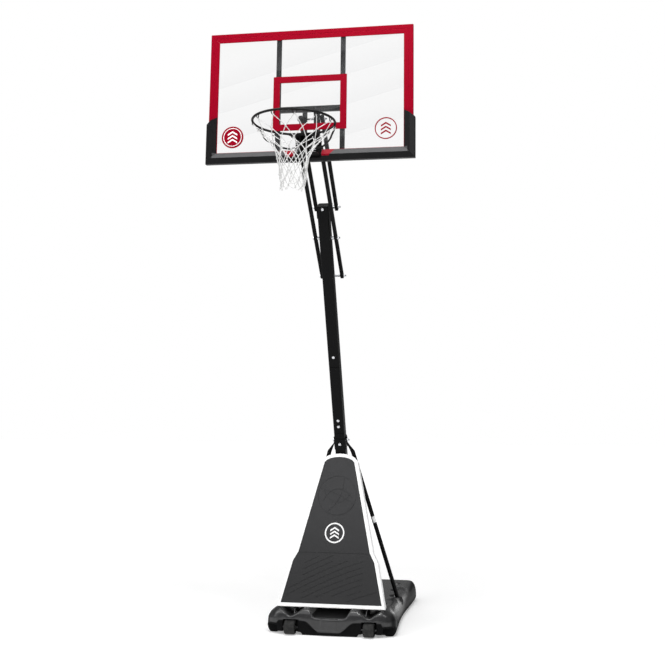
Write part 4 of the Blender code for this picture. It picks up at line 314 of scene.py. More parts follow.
class Finish:
    """One material: a principled shader, its fixed values, and the nodes that vary it."""

    def __init__(self, name, colour, roughness, **fixed):
        self.material = bpy.data.materials.new(name)
        self.material.use_nodes = True
        self.tree = self.material.node_tree
        self.tree.nodes.clear()
        self.shader = self.node("ShaderNodeBsdfPrincipled", {}, {})
        surface = self.node("ShaderNodeOutputMaterial", {}, {})
        self.tree.links.new(self.shader.outputs["BSDF"], surface.inputs["Surface"])
        self.colour = (*colour, 1.0)
        self.feed("Base Color", self.colour)
        self.feed("Roughness", roughness)
        for socket_name, value in fixed.items():
            self.feed(socket_name.replace("_", " "), value)
        self.material.diffuse_color = self.colour

    def node(self, kind, settings, values):
        """Adds a node of a type, with its settings first and then its sockets' values or links."""
        made = self.tree.nodes.new(kind)
        for name, value in settings.items():
            setattr(made, name, value)
        for name, value in values.items():
            self.plug(socket_named(made.inputs, name), value)
        return made

    def plug(self, socket, value):
        """Links a varying value to a socket, or sets a fixed one on it."""
        if isinstance(value, Number):
            self.tree.links.new(value.socket, socket)
        elif isinstance(value, bpy.types.NodeSocket):
            self.tree.links.new(value, socket)
        else:
            socket.default_value = value

    def feed(self, socket_name, value):
        """Sets or links one socket of the shader."""
        self.plug(self.shader.inputs[socket_name], value)

    def place(self):
        """The point on the piece, in metres."""
        return self.node("ShaderNodeTexCoord", {}, {}).outputs["Object"]

    def axes(self, point=None):
        """The three coordinates of a point as numbers."""
        split = self.node("ShaderNodeSeparateXYZ", {}, {"Vector": point or self.place()})
        return [Number(self, socket) for socket in split.outputs]

    def stretched(self, stretch):
        """The point on the piece, stretched along the three axes."""
        values = {"Vector": self.place(), "Scale": stretch}
        return self.node("ShaderNodeMapping", {"vector_type": "POINT"}, values).outputs[0]

    def noise(self, size, detail=2.0, stretch=(1, 1, 1)):
        """Cloudy noise whose blotches are about size metres across."""
        values = {"Vector": self.stretched(stretch), "Scale": 1.0 / size, "Detail": detail}
        return Number(self, self.node("ShaderNodeTexNoise", {}, values).outputs[0])

    def cells(self, size):
        """Distance to the nearest of scattered points about size metres apart."""
        values = {"Vector": self.place(), "Scale": 1.0 / size}
        return Number(self, self.node("ShaderNodeTexVoronoi", {}, values).outputs[0])

    def blend(self, mask, first, second):
        """Colour first where the mask is 0 and second where it is 1."""
        made = self.node("ShaderNodeMix", {"data_type": "RGBA"}, {
            "Factor_Float": mask,
            "A_Color": first,
            "B_Color": second,
        })
        return socket_named(made.outputs, "Result_Color")

    def bump(self, height, depth):
        """Raises the surface by height times depth metres."""
        made = self.node("ShaderNodeBump", {}, {"Height": height, "Distance": depth, "Strength": 1.0})
        self.feed("Normal", made.outputs[0])

    def grain(self, size, depth):
        """Raises a fine grain, its size and depth in metres."""
        self.bump(self.noise(size), depth)

    def mottle(self, mask, colour, low, high):
        """A colour times low where the mask is 0 and times high where it is 1."""
        return self.blend(mask, shade(colour, low), shade(colour, high))


def shade(colour, times):
    """A colour made lighter or darker, as a socket value."""
    return tuple(min(1.0, value * times) for value in colour[:3]) + (1.0,)


print("finish helpers ready")

# %% [markdown]
# The floor is matt and pale. Real backdrops are lit by lamps of their own, which is a slight glow here. It
# grows with the distance from the stand, so the floor runs into the white room without an edge.

# %% The floor's finish
FLOOR_PALE = (0.80, 0.80, 0.80)
GLOW_NEAR = (0.28, 0.28, 0.28, 1.0)
GLOW_FAR = (0.68, 0.68, 0.68, 1.0)
GLOW_REACH = (1.2, 5.5)


def floor_finish():
    """A pale matt floor with its own backdrop light."""
    finish = Finish("pale_floor", FLOOR_PALE, 0.9, Specular_IOR_Level=0.1, Emission_Strength=1.0)
    x, y, z = finish.axes()
    reach = (x * x + y * y).math("SQRT")
    far = reach.fade(*GLOW_REACH)
    finish.feed("Emission Color", finish.blend(far, GLOW_NEAR, GLOW_FAR))
    return finish.material


studio_floor.data.materials.append(floor_finish())
print("floor finish written")

# %% [markdown]
# ## Moulded plastics
# The tank is blow-moulded and comes out of its mould with a fine pebble grain and a slightly cloudy gloss.
# The grain is a few tenths of a millimetre deep, so it is a bump, not geometry. Scuffs gather low down, where
# the tank is dragged over the ground. The tank is also painted darker and duller under its flange, on both
# flanks and in the valley under the shroud. That is painted shade, matched to the photograph's tones under
# these lights, and the real plastic most likely does not change there.

# %% Tank, shroud and small plastic finishes
CHARCOAL = (0.019, 0.019, 0.020)
PANEL_GREY = (0.033, 0.033, 0.0345)
SHELL_WHITE = (0.85, 0.85, 0.85)
BLACK = (0.0030, 0.0030, 0.0032)
SCUFFED = (0.115, 0.112, 0.108, 1.0)
SHELL_DUST = (0.66, 0.64, 0.60, 1.0)
RUBBER = (0.012, 0.012, 0.012)
RUBBER_CLEAN = (0.010, 0.010, 0.010, 1.0)
RUBBER_DUSTY = (0.040, 0.038, 0.036, 1.0)

FLANGE_HIGH = 0.092
FLANGE_LOW = 0.026
FLANGE_SIDE = 0.048
FLANGE_CORNER = 0.074
FLANGE_TURN = (0.335, 0.352)
UNDER_FADE = (-0.004, 0.006)
FLANK_FADE = (0.388, 0.412)
FLANK_SHADE = 0.9
VALLEY_WIDE = 0.116
VALLEY_TOP = 0.150
VALLEY_FRONT = -0.600
VALLEY_BACK = -0.320
VALLEY_SHADE = 0.85
CHIN_WIDE = (0.165, 0.060)
FRONT_REACH = (-0.50, -0.57)
UNDER_FLANGE_SHADE = (0.0035, 0.0035, 0.0038, 1.0)


def flange_height(x, y):
    """How high the tank's flange runs: over the wheels in front, low in the middle, level at the sides."""
    chin = abs(x).fade(CHIN_WIDE[1], CHIN_WIDE[0])
    front = chin * (FLANGE_HIGH - FLANGE_LOW) + FLANGE_LOW
    corner = abs(x).fade(*FLANGE_TURN)
    front = front + (FLANGE_CORNER - front) * corner
    ahead = y.fade(*FRONT_REACH)
    return front * ahead + (1.0 - ahead) * FLANGE_SIDE


def tank_finish():
    """Charcoal blow-moulded plastic, scuffed near the floor, with painted shade under its flange, on its
    flanks and in the valley.
    """
    finish = Finish("moulded_tank", CHARCOAL, 0.42, Specular_IOR_Level=0.08, Coat_Roughness=0.22)
    x, y, z = finish.axes()
    grain = finish.noise(size=0.0022, detail=3.0)
    cloud = finish.noise(size=0.12, detail=3.0)
    low = z.fade(0.05, 0.004)
    scuff = finish.noise(size=0.02, detail=5.0, stretch=(1, 1, 3)).fade(0.56, 0.72) * low
    tone = finish.mottle(cloud.fade(0.35, 0.7), CHARCOAL, low=0.84, high=1.18)
    # Painted shade: darker and less glossy under the flange line, in the valley under the shroud and on both
    # flanks.
    under = (flange_height(x, y) - z).fade(*UNDER_FADE)
    valley = abs(x).below(VALLEY_WIDE) * z.below(VALLEY_TOP) * y.above(VALLEY_FRONT) * y.below(VALLEY_BACK)
    under = under.math("MAXIMUM", valley * VALLEY_SHADE)
    under = under.math("MAXIMUM", abs(x).fade(*FLANK_FADE) * FLANK_SHADE)
    worn = finish.blend(scuff * 0.5 * (1.0 - under), tone, SCUFFED)
    finish.feed("Base Color", finish.blend(under, worn, UNDER_FLANGE_SHADE))
    finish.feed("Coat Weight", 1.0 - under)
    finish.feed("Roughness", 0.22 + cloud * 0.16 + (scuff * 0.25).math("MAXIMUM", under * 0.45))
    finish.bump(grain, depth=0.0004)
    return finish.material


def shell_finish():
    """White moulded shell, faintly dusty at its foot."""
    finish = Finish("shroud_white", SHELL_WHITE, 0.34)
    x, y, z = finish.axes()
    cloud = finish.noise(size=0.05, detail=4.0)
    dust = z.fade(0.45, 0.12) * cloud.fade(0.4, 0.75)
    finish.feed("Base Color", finish.blend(dust * 0.25, shade(SHELL_WHITE, 1.0), SHELL_DUST))
    finish.feed("Roughness", 0.3 + cloud * 0.12)
    finish.grain(size=0.003, depth=0.00012)
    return finish.material


def small_plastic_finish():
    """Black injection-moulded plastic."""
    finish = Finish("black_plastic", BLACK, 0.4, Specular_IOR_Level=0.4)
    cloud = finish.noise(size=0.012, detail=3.0)
    finish.feed("Base Color", finish.mottle(cloud, BLACK, low=0.8, high=1.8))
    finish.feed("Roughness", 0.36 + cloud * 0.16)
    finish.grain(size=0.0012, depth=0.0002)
    return finish.material


def rubber_finish():
    """Wheel plastic, dull, with patches of dust."""
    finish = Finish("wheel_rubber", RUBBER, 0.7, Specular_IOR_Level=0.3)
    cloud = finish.noise(size=0.02, detail=4.0)
    dusty = cloud.fade(0.45, 0.7) * 0.5
    finish.feed("Base Color", finish.blend(dusty, RUBBER_CLEAN, RUBBER_DUSTY))
    finish.feed("Roughness", 0.62 + cloud * 0.2)
    finish.grain(size=0.0016, depth=0.0003)
    return finish.material


print("plastic finishes written")

# %% [markdown]
# The round marks are prints. Each one is plain: stacked chevrons, a disc, a ring. A mask is written in
# two coordinates of the surface that carries it, so that the print keeps its size.

# %% Masks for the prints
CHEVRON_STEPS = (-1.0, 0.0, 1.0)
CHEVRON_SLOPE = 0.62
CHEVRON_HALF = 0.030
CHEVRON_PITCH = 0.024
PRINT_WHITE = (0.80, 0.80, 0.80, 1.0)


def reach_from(across, up, place):
    """How far a point lies from a place on a flat surface."""
    side = across - place[0]
    rise = up - place[1]
    return (side * side + rise * rise).math("SQRT")


def chevrons(across, up, place, line):
    """Three stacked chevrons that point up, drawn with lines of a width."""
    side = abs(across - place[0])
    rise = up - place[1] + side * CHEVRON_SLOPE - CHEVRON_HALF * CHEVRON_SLOPE * 0.5
    stack = None
    for step in CHEVRON_STEPS:
        stripe = abs(rise - step * CHEVRON_PITCH).below(line / 2)
        stack = stack.math("MAXIMUM", stripe) if stack else stripe
    return stack * side.below(CHEVRON_HALF)


def ring(reach, radius, line):
    """A thin ring."""
    return abs(reach - radius).below(line / 2)


print("print masks written")

# %% [markdown]
# The shroud's panel leans back, so its prints are measured along its slope: the distance up the slope is
# worked out from a point's height and depth. The panel is painted darker towards its foot, a painted shade
# matched to the photograph's tone.

# %% The shroud's panel
PANEL_FOOT = (-0.574, 0.1683)
PANEL_SLOPE = (0.25994, 0.96563)
PANEL_MARK = (-0.004, 0.476)
PANEL_MIDDLE = 0.0052
PANEL_SHADE = (0.80, 0.10)
PANEL_FOOT_SHADE = 0.62
PANEL_RING = 0.062
PANEL_LINE = 0.009


def panel_finish():
    """Dark grey moulded panel with a fine leather grain, one plain white mark and painted shade towards its
    foot.
    """
    finish = Finish("shroud_panel_grey", PANEL_GREY, 0.5, Specular_IOR_Level=0.22)
    x, y, z = finish.axes()
    up = (y - PANEL_FOOT[0]) * PANEL_SLOPE[0] + (z - PANEL_FOOT[1]) * PANEL_SLOPE[1]
    depth = (y - PANEL_FOOT[0]) * PANEL_SLOPE[1] - (z - PANEL_FOOT[1]) * PANEL_SLOPE[0]
    grain = finish.cells(size=0.0028)
    cloud = finish.noise(size=0.09, detail=4.0)
    tone = finish.mottle(cloud, PANEL_GREY, low=0.86, high=1.14)
    # Painted shade: the panel grows darker towards its foot.
    tone = finish.blend(up.fade(*PANEL_SHADE), tone, shade(PANEL_GREY, PANEL_FOOT_SHADE))
    mark = ring(reach_from(x, up, PANEL_MARK), PANEL_RING, PANEL_LINE)
    mark = mark.math("MAXIMUM", chevrons(x, up, PANEL_MARK, line=0.011))
    mark = mark * depth.below(PANEL_MIDDLE)
    finish.feed("Base Color", finish.blend(mark, tone, PRINT_WHITE))
    finish.feed("Roughness", 0.46 + cloud * 0.14)
    finish.bump(grain, depth=0.00025)
    return finish.material


print("panel finish written")

# %% [markdown]
# ## Powder coat, zinc and clear sheet
# Powder coat melts into a skin with a faint orange-peel ripple. The bolts are zinc plated, bright with a
# slightly varied spangle. The edging is painted red.

# %% Metal finishes
ZINC = (0.66, 0.67, 0.69)
RED = (0.222, 0.0, 0.0095)
PEEL_DEPTH = 0.00025


def powder_coat_finish(name, colour, roughness):
    """Powder coat over steel, with orange peel and soft streaks of polish."""
    finish = Finish(name, colour, roughness, Specular_IOR_Level=0.07)
    cloud = finish.noise(size=0.05, detail=4.0, stretch=(1, 1, 0.3))
    finish.feed("Base Color", finish.mottle(cloud, colour, low=0.85, high=1.3))
    finish.feed("Roughness", cloud * 0.14 + (roughness - 0.07))
    finish.grain(size=0.0032, depth=PEEL_DEPTH)
    return finish.material


def zinc_finish(name="zinc_plate", tone=1.0):
    """Zinc plate with a faint spangle. A tone below 1 darkens it."""
    finish = Finish(name, shade(ZINC, tone)[:3], 0.3, Metallic=1.0)
    spangle = finish.cells(size=0.0035)
    finish.feed("Base Color", finish.mottle(spangle, ZINC, low=1.15 * tone, high=0.8 * tone))
    finish.feed("Roughness", 0.26 + spangle * 0.2)
    finish.grain(size=0.0012, depth=0.0001)
    return finish.material


def red_trim_finish():
    """Red painted edge trim."""
    finish = Finish("red_trim", RED, 0.46, Specular_IOR_Level=0.03)
    cloud = finish.noise(size=0.06, detail=4.0)
    finish.feed("Base Color", finish.mottle(cloud, RED, low=0.94, high=1.06))
    finish.feed("Roughness", 0.40 + cloud * 0.14)
    finish.grain(size=0.003, depth=0.00012)
    return finish.material


print("metal finishes written")

# %% [markdown]
# The aiming square and the two round marks are printed on the clear sheet. Each is a mask in the sheet's own
# coordinates: a point is in the square's line if it is inside the outer rectangle and not inside the inner
# one. Where there is print the sheet is opaque. Elsewhere it is nearly clear. The photograph shows slanting
# reflections on it, and they are painted on as veils that start at a sharp edge and thin out above it. Real
# reflections would move with the viewer, and these stay where they are.

# %% The printed clear sheet
SQUARE_HALF = 0.228
SQUARE_LOW = 3.123
SQUARE_HIGH = 3.465
SQUARE_LINE = 0.040
BADGE_PLACE = (-0.480, 3.095)
BADGE_RADIUS = 0.068
MARK_PLACE = (0.468, 3.115)
MARK_RADIUS = 0.064
SHEET_GREY = (0.22, 0.225, 0.23)
VEIL_SLOPE = 0.27
VEIL_EDGES = (3.02, 3.21, 3.40, 3.56)
VEIL_WIDTH = 0.15
VEIL_HAZE = 0.035
CLEAR_HAZE = 0.055


def rectangle_mask(x, z, half, low, high):
    """1 inside a rectangle that is centred on x = 0."""
    return abs(x).below(half) * z.above(low) * z.below(high)


def veils(x, z):
    """Slanting bands that start sharply and thin out upwards."""
    level = z - x * VEIL_SLOPE
    total = None
    for edge in VEIL_EDGES:
        band = level.above(edge) * level.fade(edge + VEIL_WIDTH, edge)
        total = total + band if total else band
    return total


def sheet_finish():
    """Clear acrylic with a red aiming square and two plain marks."""
    finish = Finish("clear_sheet", SHEET_GREY, 0.08, Specular_IOR_Level=0.05)
    x, y, z = finish.axes()
    outer = rectangle_mask(x, z, SQUARE_HALF, SQUARE_LOW, SQUARE_HIGH)
    inner_half = SQUARE_HALF - SQUARE_LINE
    inner = rectangle_mask(x, z, inner_half, SQUARE_LOW + SQUARE_LINE, SQUARE_HIGH - SQUARE_LINE)
    square = outer * (1.0 - inner)
    badge_reach = reach_from(x, z, BADGE_PLACE)
    badge = badge_reach.below(BADGE_RADIUS)
    white = ring(badge_reach, BADGE_RADIUS * 0.82, line=0.0040)
    white = white.math("MAXIMUM", chevrons(x, z, BADGE_PLACE, line=0.010))
    mark = ring(reach_from(x, z, MARK_PLACE), MARK_RADIUS, line=0.0060)
    mark = mark.math("MAXIMUM", chevrons(x, z, MARK_PLACE, line=0.0095))
    printed = square.math("MAXIMUM", badge).math("MAXIMUM", mark)
    veil = veils(x, z)
    inked = finish.blend(white, shade(RED, 1.0), PRINT_WHITE)
    clear = finish.mottle(veil * 0.5, SHEET_GREY, low=0.9, high=1.25)
    finish.feed("Base Color", finish.blend(printed, clear, inked))
    finish.feed("Alpha", printed.math("MAXIMUM", CLEAR_HAZE + veil * VEIL_HAZE))
    finish.feed("Roughness", printed * 0.34 + 0.08)
    return finish.material


print("sheet finish written")

# %% [markdown]
# The bumper is a moulded pad of hard foam. Its middle piece carries two red flashes, painted on the upper
# bevel as parallelograms, so the mask leans with height. The bevel itself is painted a lighter grey than the
# rest of the pad: a painted highlight where light falls on it, matched to the photograph's tone.

# %% The bumper's finish
PAD = (0.0085, 0.0085, 0.0090)
PAD_BEVEL_HIGHLIGHT = (0.060, 0.060, 0.062)
PAD_RIDGE = 2.9602
PAD_INNER = 2.9945
PAD_ENDS = 0.600
FLASH_LOW = 2.952
FLASH_HIGH = 2.996
FLASH_IN = 0.084
FLASH_OUT = 0.127
FLASH_LEAN = 0.8


def bumper_finish(flashes):
    """Grey-black moulded pad with a painted highlight on its upper bevel, with or without the flashes."""
    finish = Finish("bumper_pad_flashed" if flashes else "bumper_pad", PAD, 0.34, Specular_IOR_Level=0.06)
    cloud = finish.noise(size=0.04, detail=4.0)
    x, y, z = finish.axes()
    # Painted highlight: the upper bevel is a lighter grey than the rest of the pad.
    bevel = z.above(PAD_RIDGE) * z.below(PAD_INNER) * abs(x).below(PAD_ENDS)
    tone = finish.mottle(cloud, PAD, low=0.85, high=1.25)
    bevel_highlight = finish.mottle(cloud, PAD_BEVEL_HIGHLIGHT, low=0.85, high=1.15)
    tone = finish.blend(bevel, tone, bevel_highlight)
    if flashes:
        lean = (z - FLASH_LOW) * FLASH_LEAN
        flash = abs(x).above(FLASH_IN) * (abs(x) - lean).below(FLASH_OUT)
        flash = flash * z.above(FLASH_LOW) * z.below(FLASH_HIGH)
        tone = finish.blend(flash, tone, shade(RED, 1.0))
    finish.feed("Base Color", tone)
    finish.feed("Roughness", 0.27 + cloud * 0.10)
    finish.grain(size=0.0020, depth=0.00015)
    return finish.material


print("bumper finish written")

# %% [markdown]
# The net is taken to be white nylon cord, laid up from three strands. The strands are a bump that winds round
# each cord: the cord's own texture coordinates run once round it and once along it, so a slanting stripe in
# them is a strand. The grooves between the strands get a painted shade.

# %% The cord's finish
CORD_STRANDS = 3.0
CORD_TURNS = 9.0
CORD_WHITE = (0.84, 0.84, 0.83)
CORD_DARK = (0.66, 0.66, 0.655, 1.0)
CORD_LIGHT = (0.80, 0.80, 0.795, 1.0)
CORD_GROOVE_SHADE = (0.36, 0.36, 0.355, 1.0)


def cord_finish():
    """White laid nylon cord."""
    finish = Finish("net_nylon", CORD_WHITE, 0.6, Sheen_Weight=0.2)
    unwrapped = finish.node("ShaderNodeTexCoord", {}, {}).outputs["UV"]
    u, v, w = finish.axes(unwrapped)
    lay = ((u * CORD_STRANDS + v * CORD_TURNS) * math.tau).math("SINE")
    cloud = finish.noise(size=0.004, detail=3.0)
    # Painted shade in the grooves between the strands.
    groove_shade = lay.fade(-0.2, -1.0)
    tone = finish.blend(cloud, CORD_DARK, CORD_LIGHT)
    finish.feed("Base Color", finish.blend(groove_shade * 0.5, tone, CORD_GROOVE_SHADE))
    finish.bump(lay, depth=0.0003)
    return finish.material


print("cord finish written")

# %% [markdown]
# ## Dressing the imported solids
# Every node of the imported model has a material slot in the record. One finish is made for each slot and put
# on all the nodes that name it. The axle's zinc is made nearly black, a painted shade, because bright zinc
# showed as white in the wheel pockets, where the photograph is dark.

# %% Put the finishes on the CAD nodes
RIM_BLACK = (0.0085, 0.0085, 0.0085)
AXLE_SHADE = 0.06
FINISHES = {
    "tank_plastic": tank_finish(),
    "black_paint": powder_coat_finish("powder_black", BLACK, 0.36),
    "zinc": zinc_finish(),
    "white_shell": shell_finish(),
    "grey_panel": panel_finish(),
    "black_plastic": small_plastic_finish(),
    "rubber": rubber_finish(),
    "clear_sheet": sheet_finish(),
    "red_trim": red_trim_finish(),
    "bumper_pad": bumper_finish(False),
    "rim_paint": powder_coat_finish("rim_black", RIM_BLACK, 0.30),
    "net_cord": cord_finish(),
}
FLASHED_BUMPER = bumper_finish(True)


def dress(piece, material):
    """Gives a piece one material."""
    piece.data.materials.clear()
    piece.data.materials.append(material)


for part in frame["record"]["subparts"]:
    dress(NODES[part["node"]], FINISHES[part["material_slot"]])
dress(NODES["bumper_centre"], FLASHED_BUMPER)
# Painted shade: the axle's zinc is darkened nearly to black, as it lies in the dark wheel pockets.
dress(NODES["wheel_axle"], zinc_finish("zinc_shaded", AXLE_SHADE))

# %% [markdown]
# ## Rods and cords
# A rod, a wire and a cord are all a round section carried along a line. A curve with a bevel does that, and
# is then turned into a mesh. Its end caps come loose, so they are merged, and the faces are turned outwards.

# %% A helper for rods and cords
MERGE_REACH = 0.00001
ROD_ANGLE = math.radians(50)


def rod_piece(name, lines, radius, corners=1, swell=None):
    """Round rods along lists of points, as one mesh piece."""
    data = bpy.data.curves.new(name, "CURVE")
    data.dimensions = "3D"
    data.bevel_depth = radius
    data.bevel_resolution = corners
    data.use_fill_caps = True
    for line in lines:
        spline = data.splines.new("POLY")
        spline.points.add(len(line) - 1)
        for number, place in enumerate(line):
            spline.points[number].co = (*place, 1.0)
            spline.points[number].radius = swell(number) if swell else 1.0
    piece = bpy.data.objects.new(name, data)
    bpy.context.scene.collection.objects.link(piece)
    only(piece)
    bpy.ops.object.convert(target="MESH")
    piece = bpy.context.object
    bpy.ops.object.mode_set(mode="EDIT")
    bpy.ops.mesh.select_all(action="SELECT")
    bpy.ops.mesh.remove_doubles(threshold=MERGE_REACH)
    bpy.ops.mesh.normals_make_consistent(inside=False)
    bpy.ops.object.mode_set(mode="OBJECT")
    bpy.ops.object.shade_smooth_by_angle(angle=ROD_ANGLE)
    return piece


def hand_over(piece, body, slot, *nodes):
    """Dresses a new piece, lets it ride on a body, and hides the nodes it stands for."""
    dress(piece, FINISHES[slot])
    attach(piece, body)
    if nodes:
        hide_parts(*nodes)
    print(piece.name, len(piece.data.polygons), "faces on", body)
    return piece


print("rod helper ready")

# %% [markdown]
# ## The tank's soft edges
# A blow-moulded tank has no sharp edge: the hot plastic is thin where it is stretched over a corner, and
# every ridge rounds off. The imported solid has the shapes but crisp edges. A copy of it is merged and wrapped
# in small even faces by a voxel remesh. Its deck's long edges are rolled over to the flange, four soft domes
# are raised on the deck, and a smoothing rounds every edge. The domes are guessed from two highlights on the
# right side. Last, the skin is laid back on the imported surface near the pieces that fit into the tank. That
# is not perfect: the skin still cuts into the axle, the stays' feet and the foot of the pole.

# %% Soften the tank
SKIN_FACE = 0.006
FRONT_FACE = -0.600
DECK = 0.168
SIDE_X = 0.436
SHOULDER = 0.075
ROLL_ENDS = (-0.58, -0.38, 0.34, 0.58)
SIDE_PULL = 0.014
PULL_ENDS = (-0.60, 0.50)
ROLL_EASED = 0.6
DOMES = ((0.352, -0.135, 0.064, 0.011), (0.352, 0.262, 0.068, 0.010))
LIP_HALF = 0.054
LIP_LOW = 0.040
LIP_HIGH = 0.108
LIP_RAISE = 0.004
SMOOTH_FACTOR = 0.5
SMOOTH_ROUNDS = 7
HELD = ("filler_plug", "pole_lower", "stay_left", "stay_right", "wheel_axle", "wheel_left", "wheel_right")
SEAT_NEAR = 0.010
SEAT_FAR = 0.022


def ease(value, low, high):
    """Runs smoothly from 0 at low to 1 at high."""
    share = min(1.0, max(0.0, (value - low) / (high - low)))
    return share * share * (3 - 2 * share)


def roll_side(place):
    """Rolls the deck's long edges over to the flange."""
    across = min(1.0, max(0.0, (abs(place.x) - (SIDE_X - SHOULDER)) / SHOULDER))
    if place.z < FLANGE_SIDE or across == 0.0:
        return
    roll = ease(place.y, *ROLL_ENDS[:2]) * (1.0 - ROLL_EASED * ease(place.y, *ROLL_ENDS[2:]))
    up = min(1.0, (place.z - FLANGE_SIDE) / (DECK - FLANGE_SIDE))
    inward = SHOULDER * across * (1.0 - math.sqrt(1.0 - up * up / 2.0))
    inward += SIDE_PULL * (1.0 - ease(place.y, *PULL_ENDS)) * across
    place.x -= math.copysign(inward * roll, place.x)
    place.z -= (place.z - FLANGE_SIDE) * (1.0 - math.sqrt(1.0 - across * across / 2.0)) * roll


def raise_domes(place):
    """Lifts the soft round domes on the deck, the same ones on both sides."""
    for side, along, radius, height in DOMES:
        reach = math.hypot(abs(place.x) - side, place.y - along)
        if reach < radius and place.z > FLANGE_SIDE:
            place.z += height * math.cos(reach / radius * math.pi / 2) ** 2


def raise_lip(place):
    """Brings the small panel in the middle of the tank's front forward."""
    if place.y < FRONT_FACE and abs(place.x) < LIP_HALF and LIP_LOW < place.z < LIP_HIGH:
        place.y -= LIP_RAISE


def surface_of(node):
    """A node's surface, to look up the nearest point of."""
    mesh = NODES[node].data
    corners = [vertex.co for vertex in mesh.vertices]
    return BVHTree.FromPolygons(corners, [face.vertices for face in mesh.polygons])


def seat_pieces(mesh):
    """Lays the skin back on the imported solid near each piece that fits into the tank."""
    solid = surface_of("base_tank")
    pieces = [surface_of(node) for node in HELD]
    for vertex in mesh.vertices:
        finds = [piece.find_nearest(vertex.co, SEAT_FAR)[3] for piece in pieces]
        reach = min([find for find in finds if find is not None], default=SEAT_FAR)
        if reach < SEAT_FAR:
            target = solid.find_nearest(vertex.co)[0]
            vertex.co = vertex.co.lerp(target, 1.0 - ease(reach, SEAT_NEAR, SEAT_FAR))


def soften_tank():
    """The tank with the rounded edges of a blow moulding."""
    copy = bpy.data.objects.new("soft_tank", NODES["base_tank"].data.copy())
    bpy.context.scene.collection.objects.link(copy)
    only(copy)
    bpy.ops.object.mode_set(mode="EDIT")
    bpy.ops.mesh.select_all(action="SELECT")
    bpy.ops.mesh.remove_doubles(threshold=MERGE_REACH)
    bpy.ops.object.mode_set(mode="OBJECT")
    apply_modifier(copy, "REMESH", {"mode": "VOXEL", "voxel_size": SKIN_FACE})
    for vertex in copy.data.vertices:
        roll_side(vertex.co)
        raise_domes(vertex.co)
    apply_modifier(copy, "SMOOTH", {"factor": SMOOTH_FACTOR, "iterations": SMOOTH_ROUNDS})
    for vertex in copy.data.vertices:
        raise_lip(vertex.co)
    seat_pieces(copy.data)
    bpy.ops.object.shade_smooth()
    return copy


soft_tank = soften_tank()
hand_over(soft_tank, "stand", "tank_plastic", "base_tank")

# %% [markdown]
# ## The net
# Twelve loops hang from twelve hooks. Below them two cords meet in a knot, part, and meet the next ones, row
# by row. The upper rows hang straight, and the skirt under the neck is slack and uneven. The places of the
# knots come first, with a little seeded wander that grows towards the bottom.

# %% Places of the knots
HOOP = Vector((0.0, -1.775896, 3.05))
HOOK_RING = 0.230
HOOK_WIRE = 0.0028
HOOK_LOW = 3.0258
NET_TOP = 3.0215
NET_LENGTH = 0.370
NET_LOOPS = 12
NET_ROWS = 8
NECK_RADIUS = 0.084
NECK_SHARE = 0.58
SKIRT_RADIUS = 0.068
NECK_CURVE = 0.9
CORD_RADIUS = 0.00225
WANDER_SEED = 11
WANDER_TURN = 0.17
WANDER_RADIUS = (-0.12, 0.07)
WANDER_HEIGHT = 0.007
WANDER_FOOT = (0.004, 0.030)
SLACK_POWER = 1.5
wander = random.Random(WANDER_SEED)


def net_radius(share):
    """The net's radius from its hooks down: a cone that narrows to a nearly straight skirt."""
    if share < NECK_SHARE:
        fall = math.sin(share / NECK_SHARE * math.pi / 2) ** NECK_CURVE
        return HOOK_RING + (NECK_RADIUS - HOOK_RING) * fall
    return NECK_RADIUS + (SKIRT_RADIUS - NECK_RADIUS) * (share - NECK_SHARE) / (1.0 - NECK_SHARE)


def knot_place(row, number):
    """A knot's place, wandering more the lower it hangs."""
    share = row / NET_ROWS
    slack = share ** SLACK_POWER
    turn = wander.uniform(-WANDER_TURN, WANDER_TURN) * slack
    angle = math.tau * (number + 0.5 * (row % 2) + 0.5) / NET_LOOPS + turn
    radius = net_radius(share) * (1.0 + wander.uniform(*WANDER_RADIUS) * slack)
    height = NET_TOP - NET_LENGTH * share + wander.uniform(-WANDER_HEIGHT, WANDER_HEIGHT) * slack
    if row == NET_ROWS:
        height += wander.uniform(*WANDER_FOOT)
    return Vector((HOOP.x + radius * math.cos(angle), HOOP.y + radius * math.sin(angle), height))


KNOTS = [[knot_place(row, number) for number in range(NET_LOOPS)] for row in range(NET_ROWS + 1)]
print("knots", sum(len(row) for row in KNOTS[1:NET_ROWS]))

# %% [markdown]
# A cord between two knots sags a little. At the top each cord climbs inside its hook, goes over the wire and
# comes down outside it. At the bottom it swings through a rounded loop.

# %% Lines of the cords
CORD_POINTS = 7
CORD_SLACK = 0.011
BOW_SIDE = (-0.2, 1.0)
BOW_DOWN = 0.5
HOOK_STEPS = 8
HOOK_LEAN = 0.0006
HOOK_GAP = 0.0003
CLIMB_SHARES = (0.0, 0.25, 0.5, 0.75, 0.93)
FALL_SHARES = (0.07, 0.25, 0.5, 0.75, 1.0)
LOOP_STEPS = 12


def hanging_line(start, end, slack):
    """A cord between two knots, bowed sideways and down by its slack."""
    run = end - start
    outward = Vector((start.x + end.x - 2 * HOOP.x, start.y + end.y - 2 * HOOP.y, 0.0)).normalized()
    bow = outward * wander.uniform(*BOW_SIDE) * slack + Vector((0.0, 0.0, -BOW_DOWN * slack))
    line = []
    for step in range(CORD_POINTS + 1):
        share = step / CORD_POINTS
        line.append(start + run * share + bow * math.sin(math.pi * share))
    return line


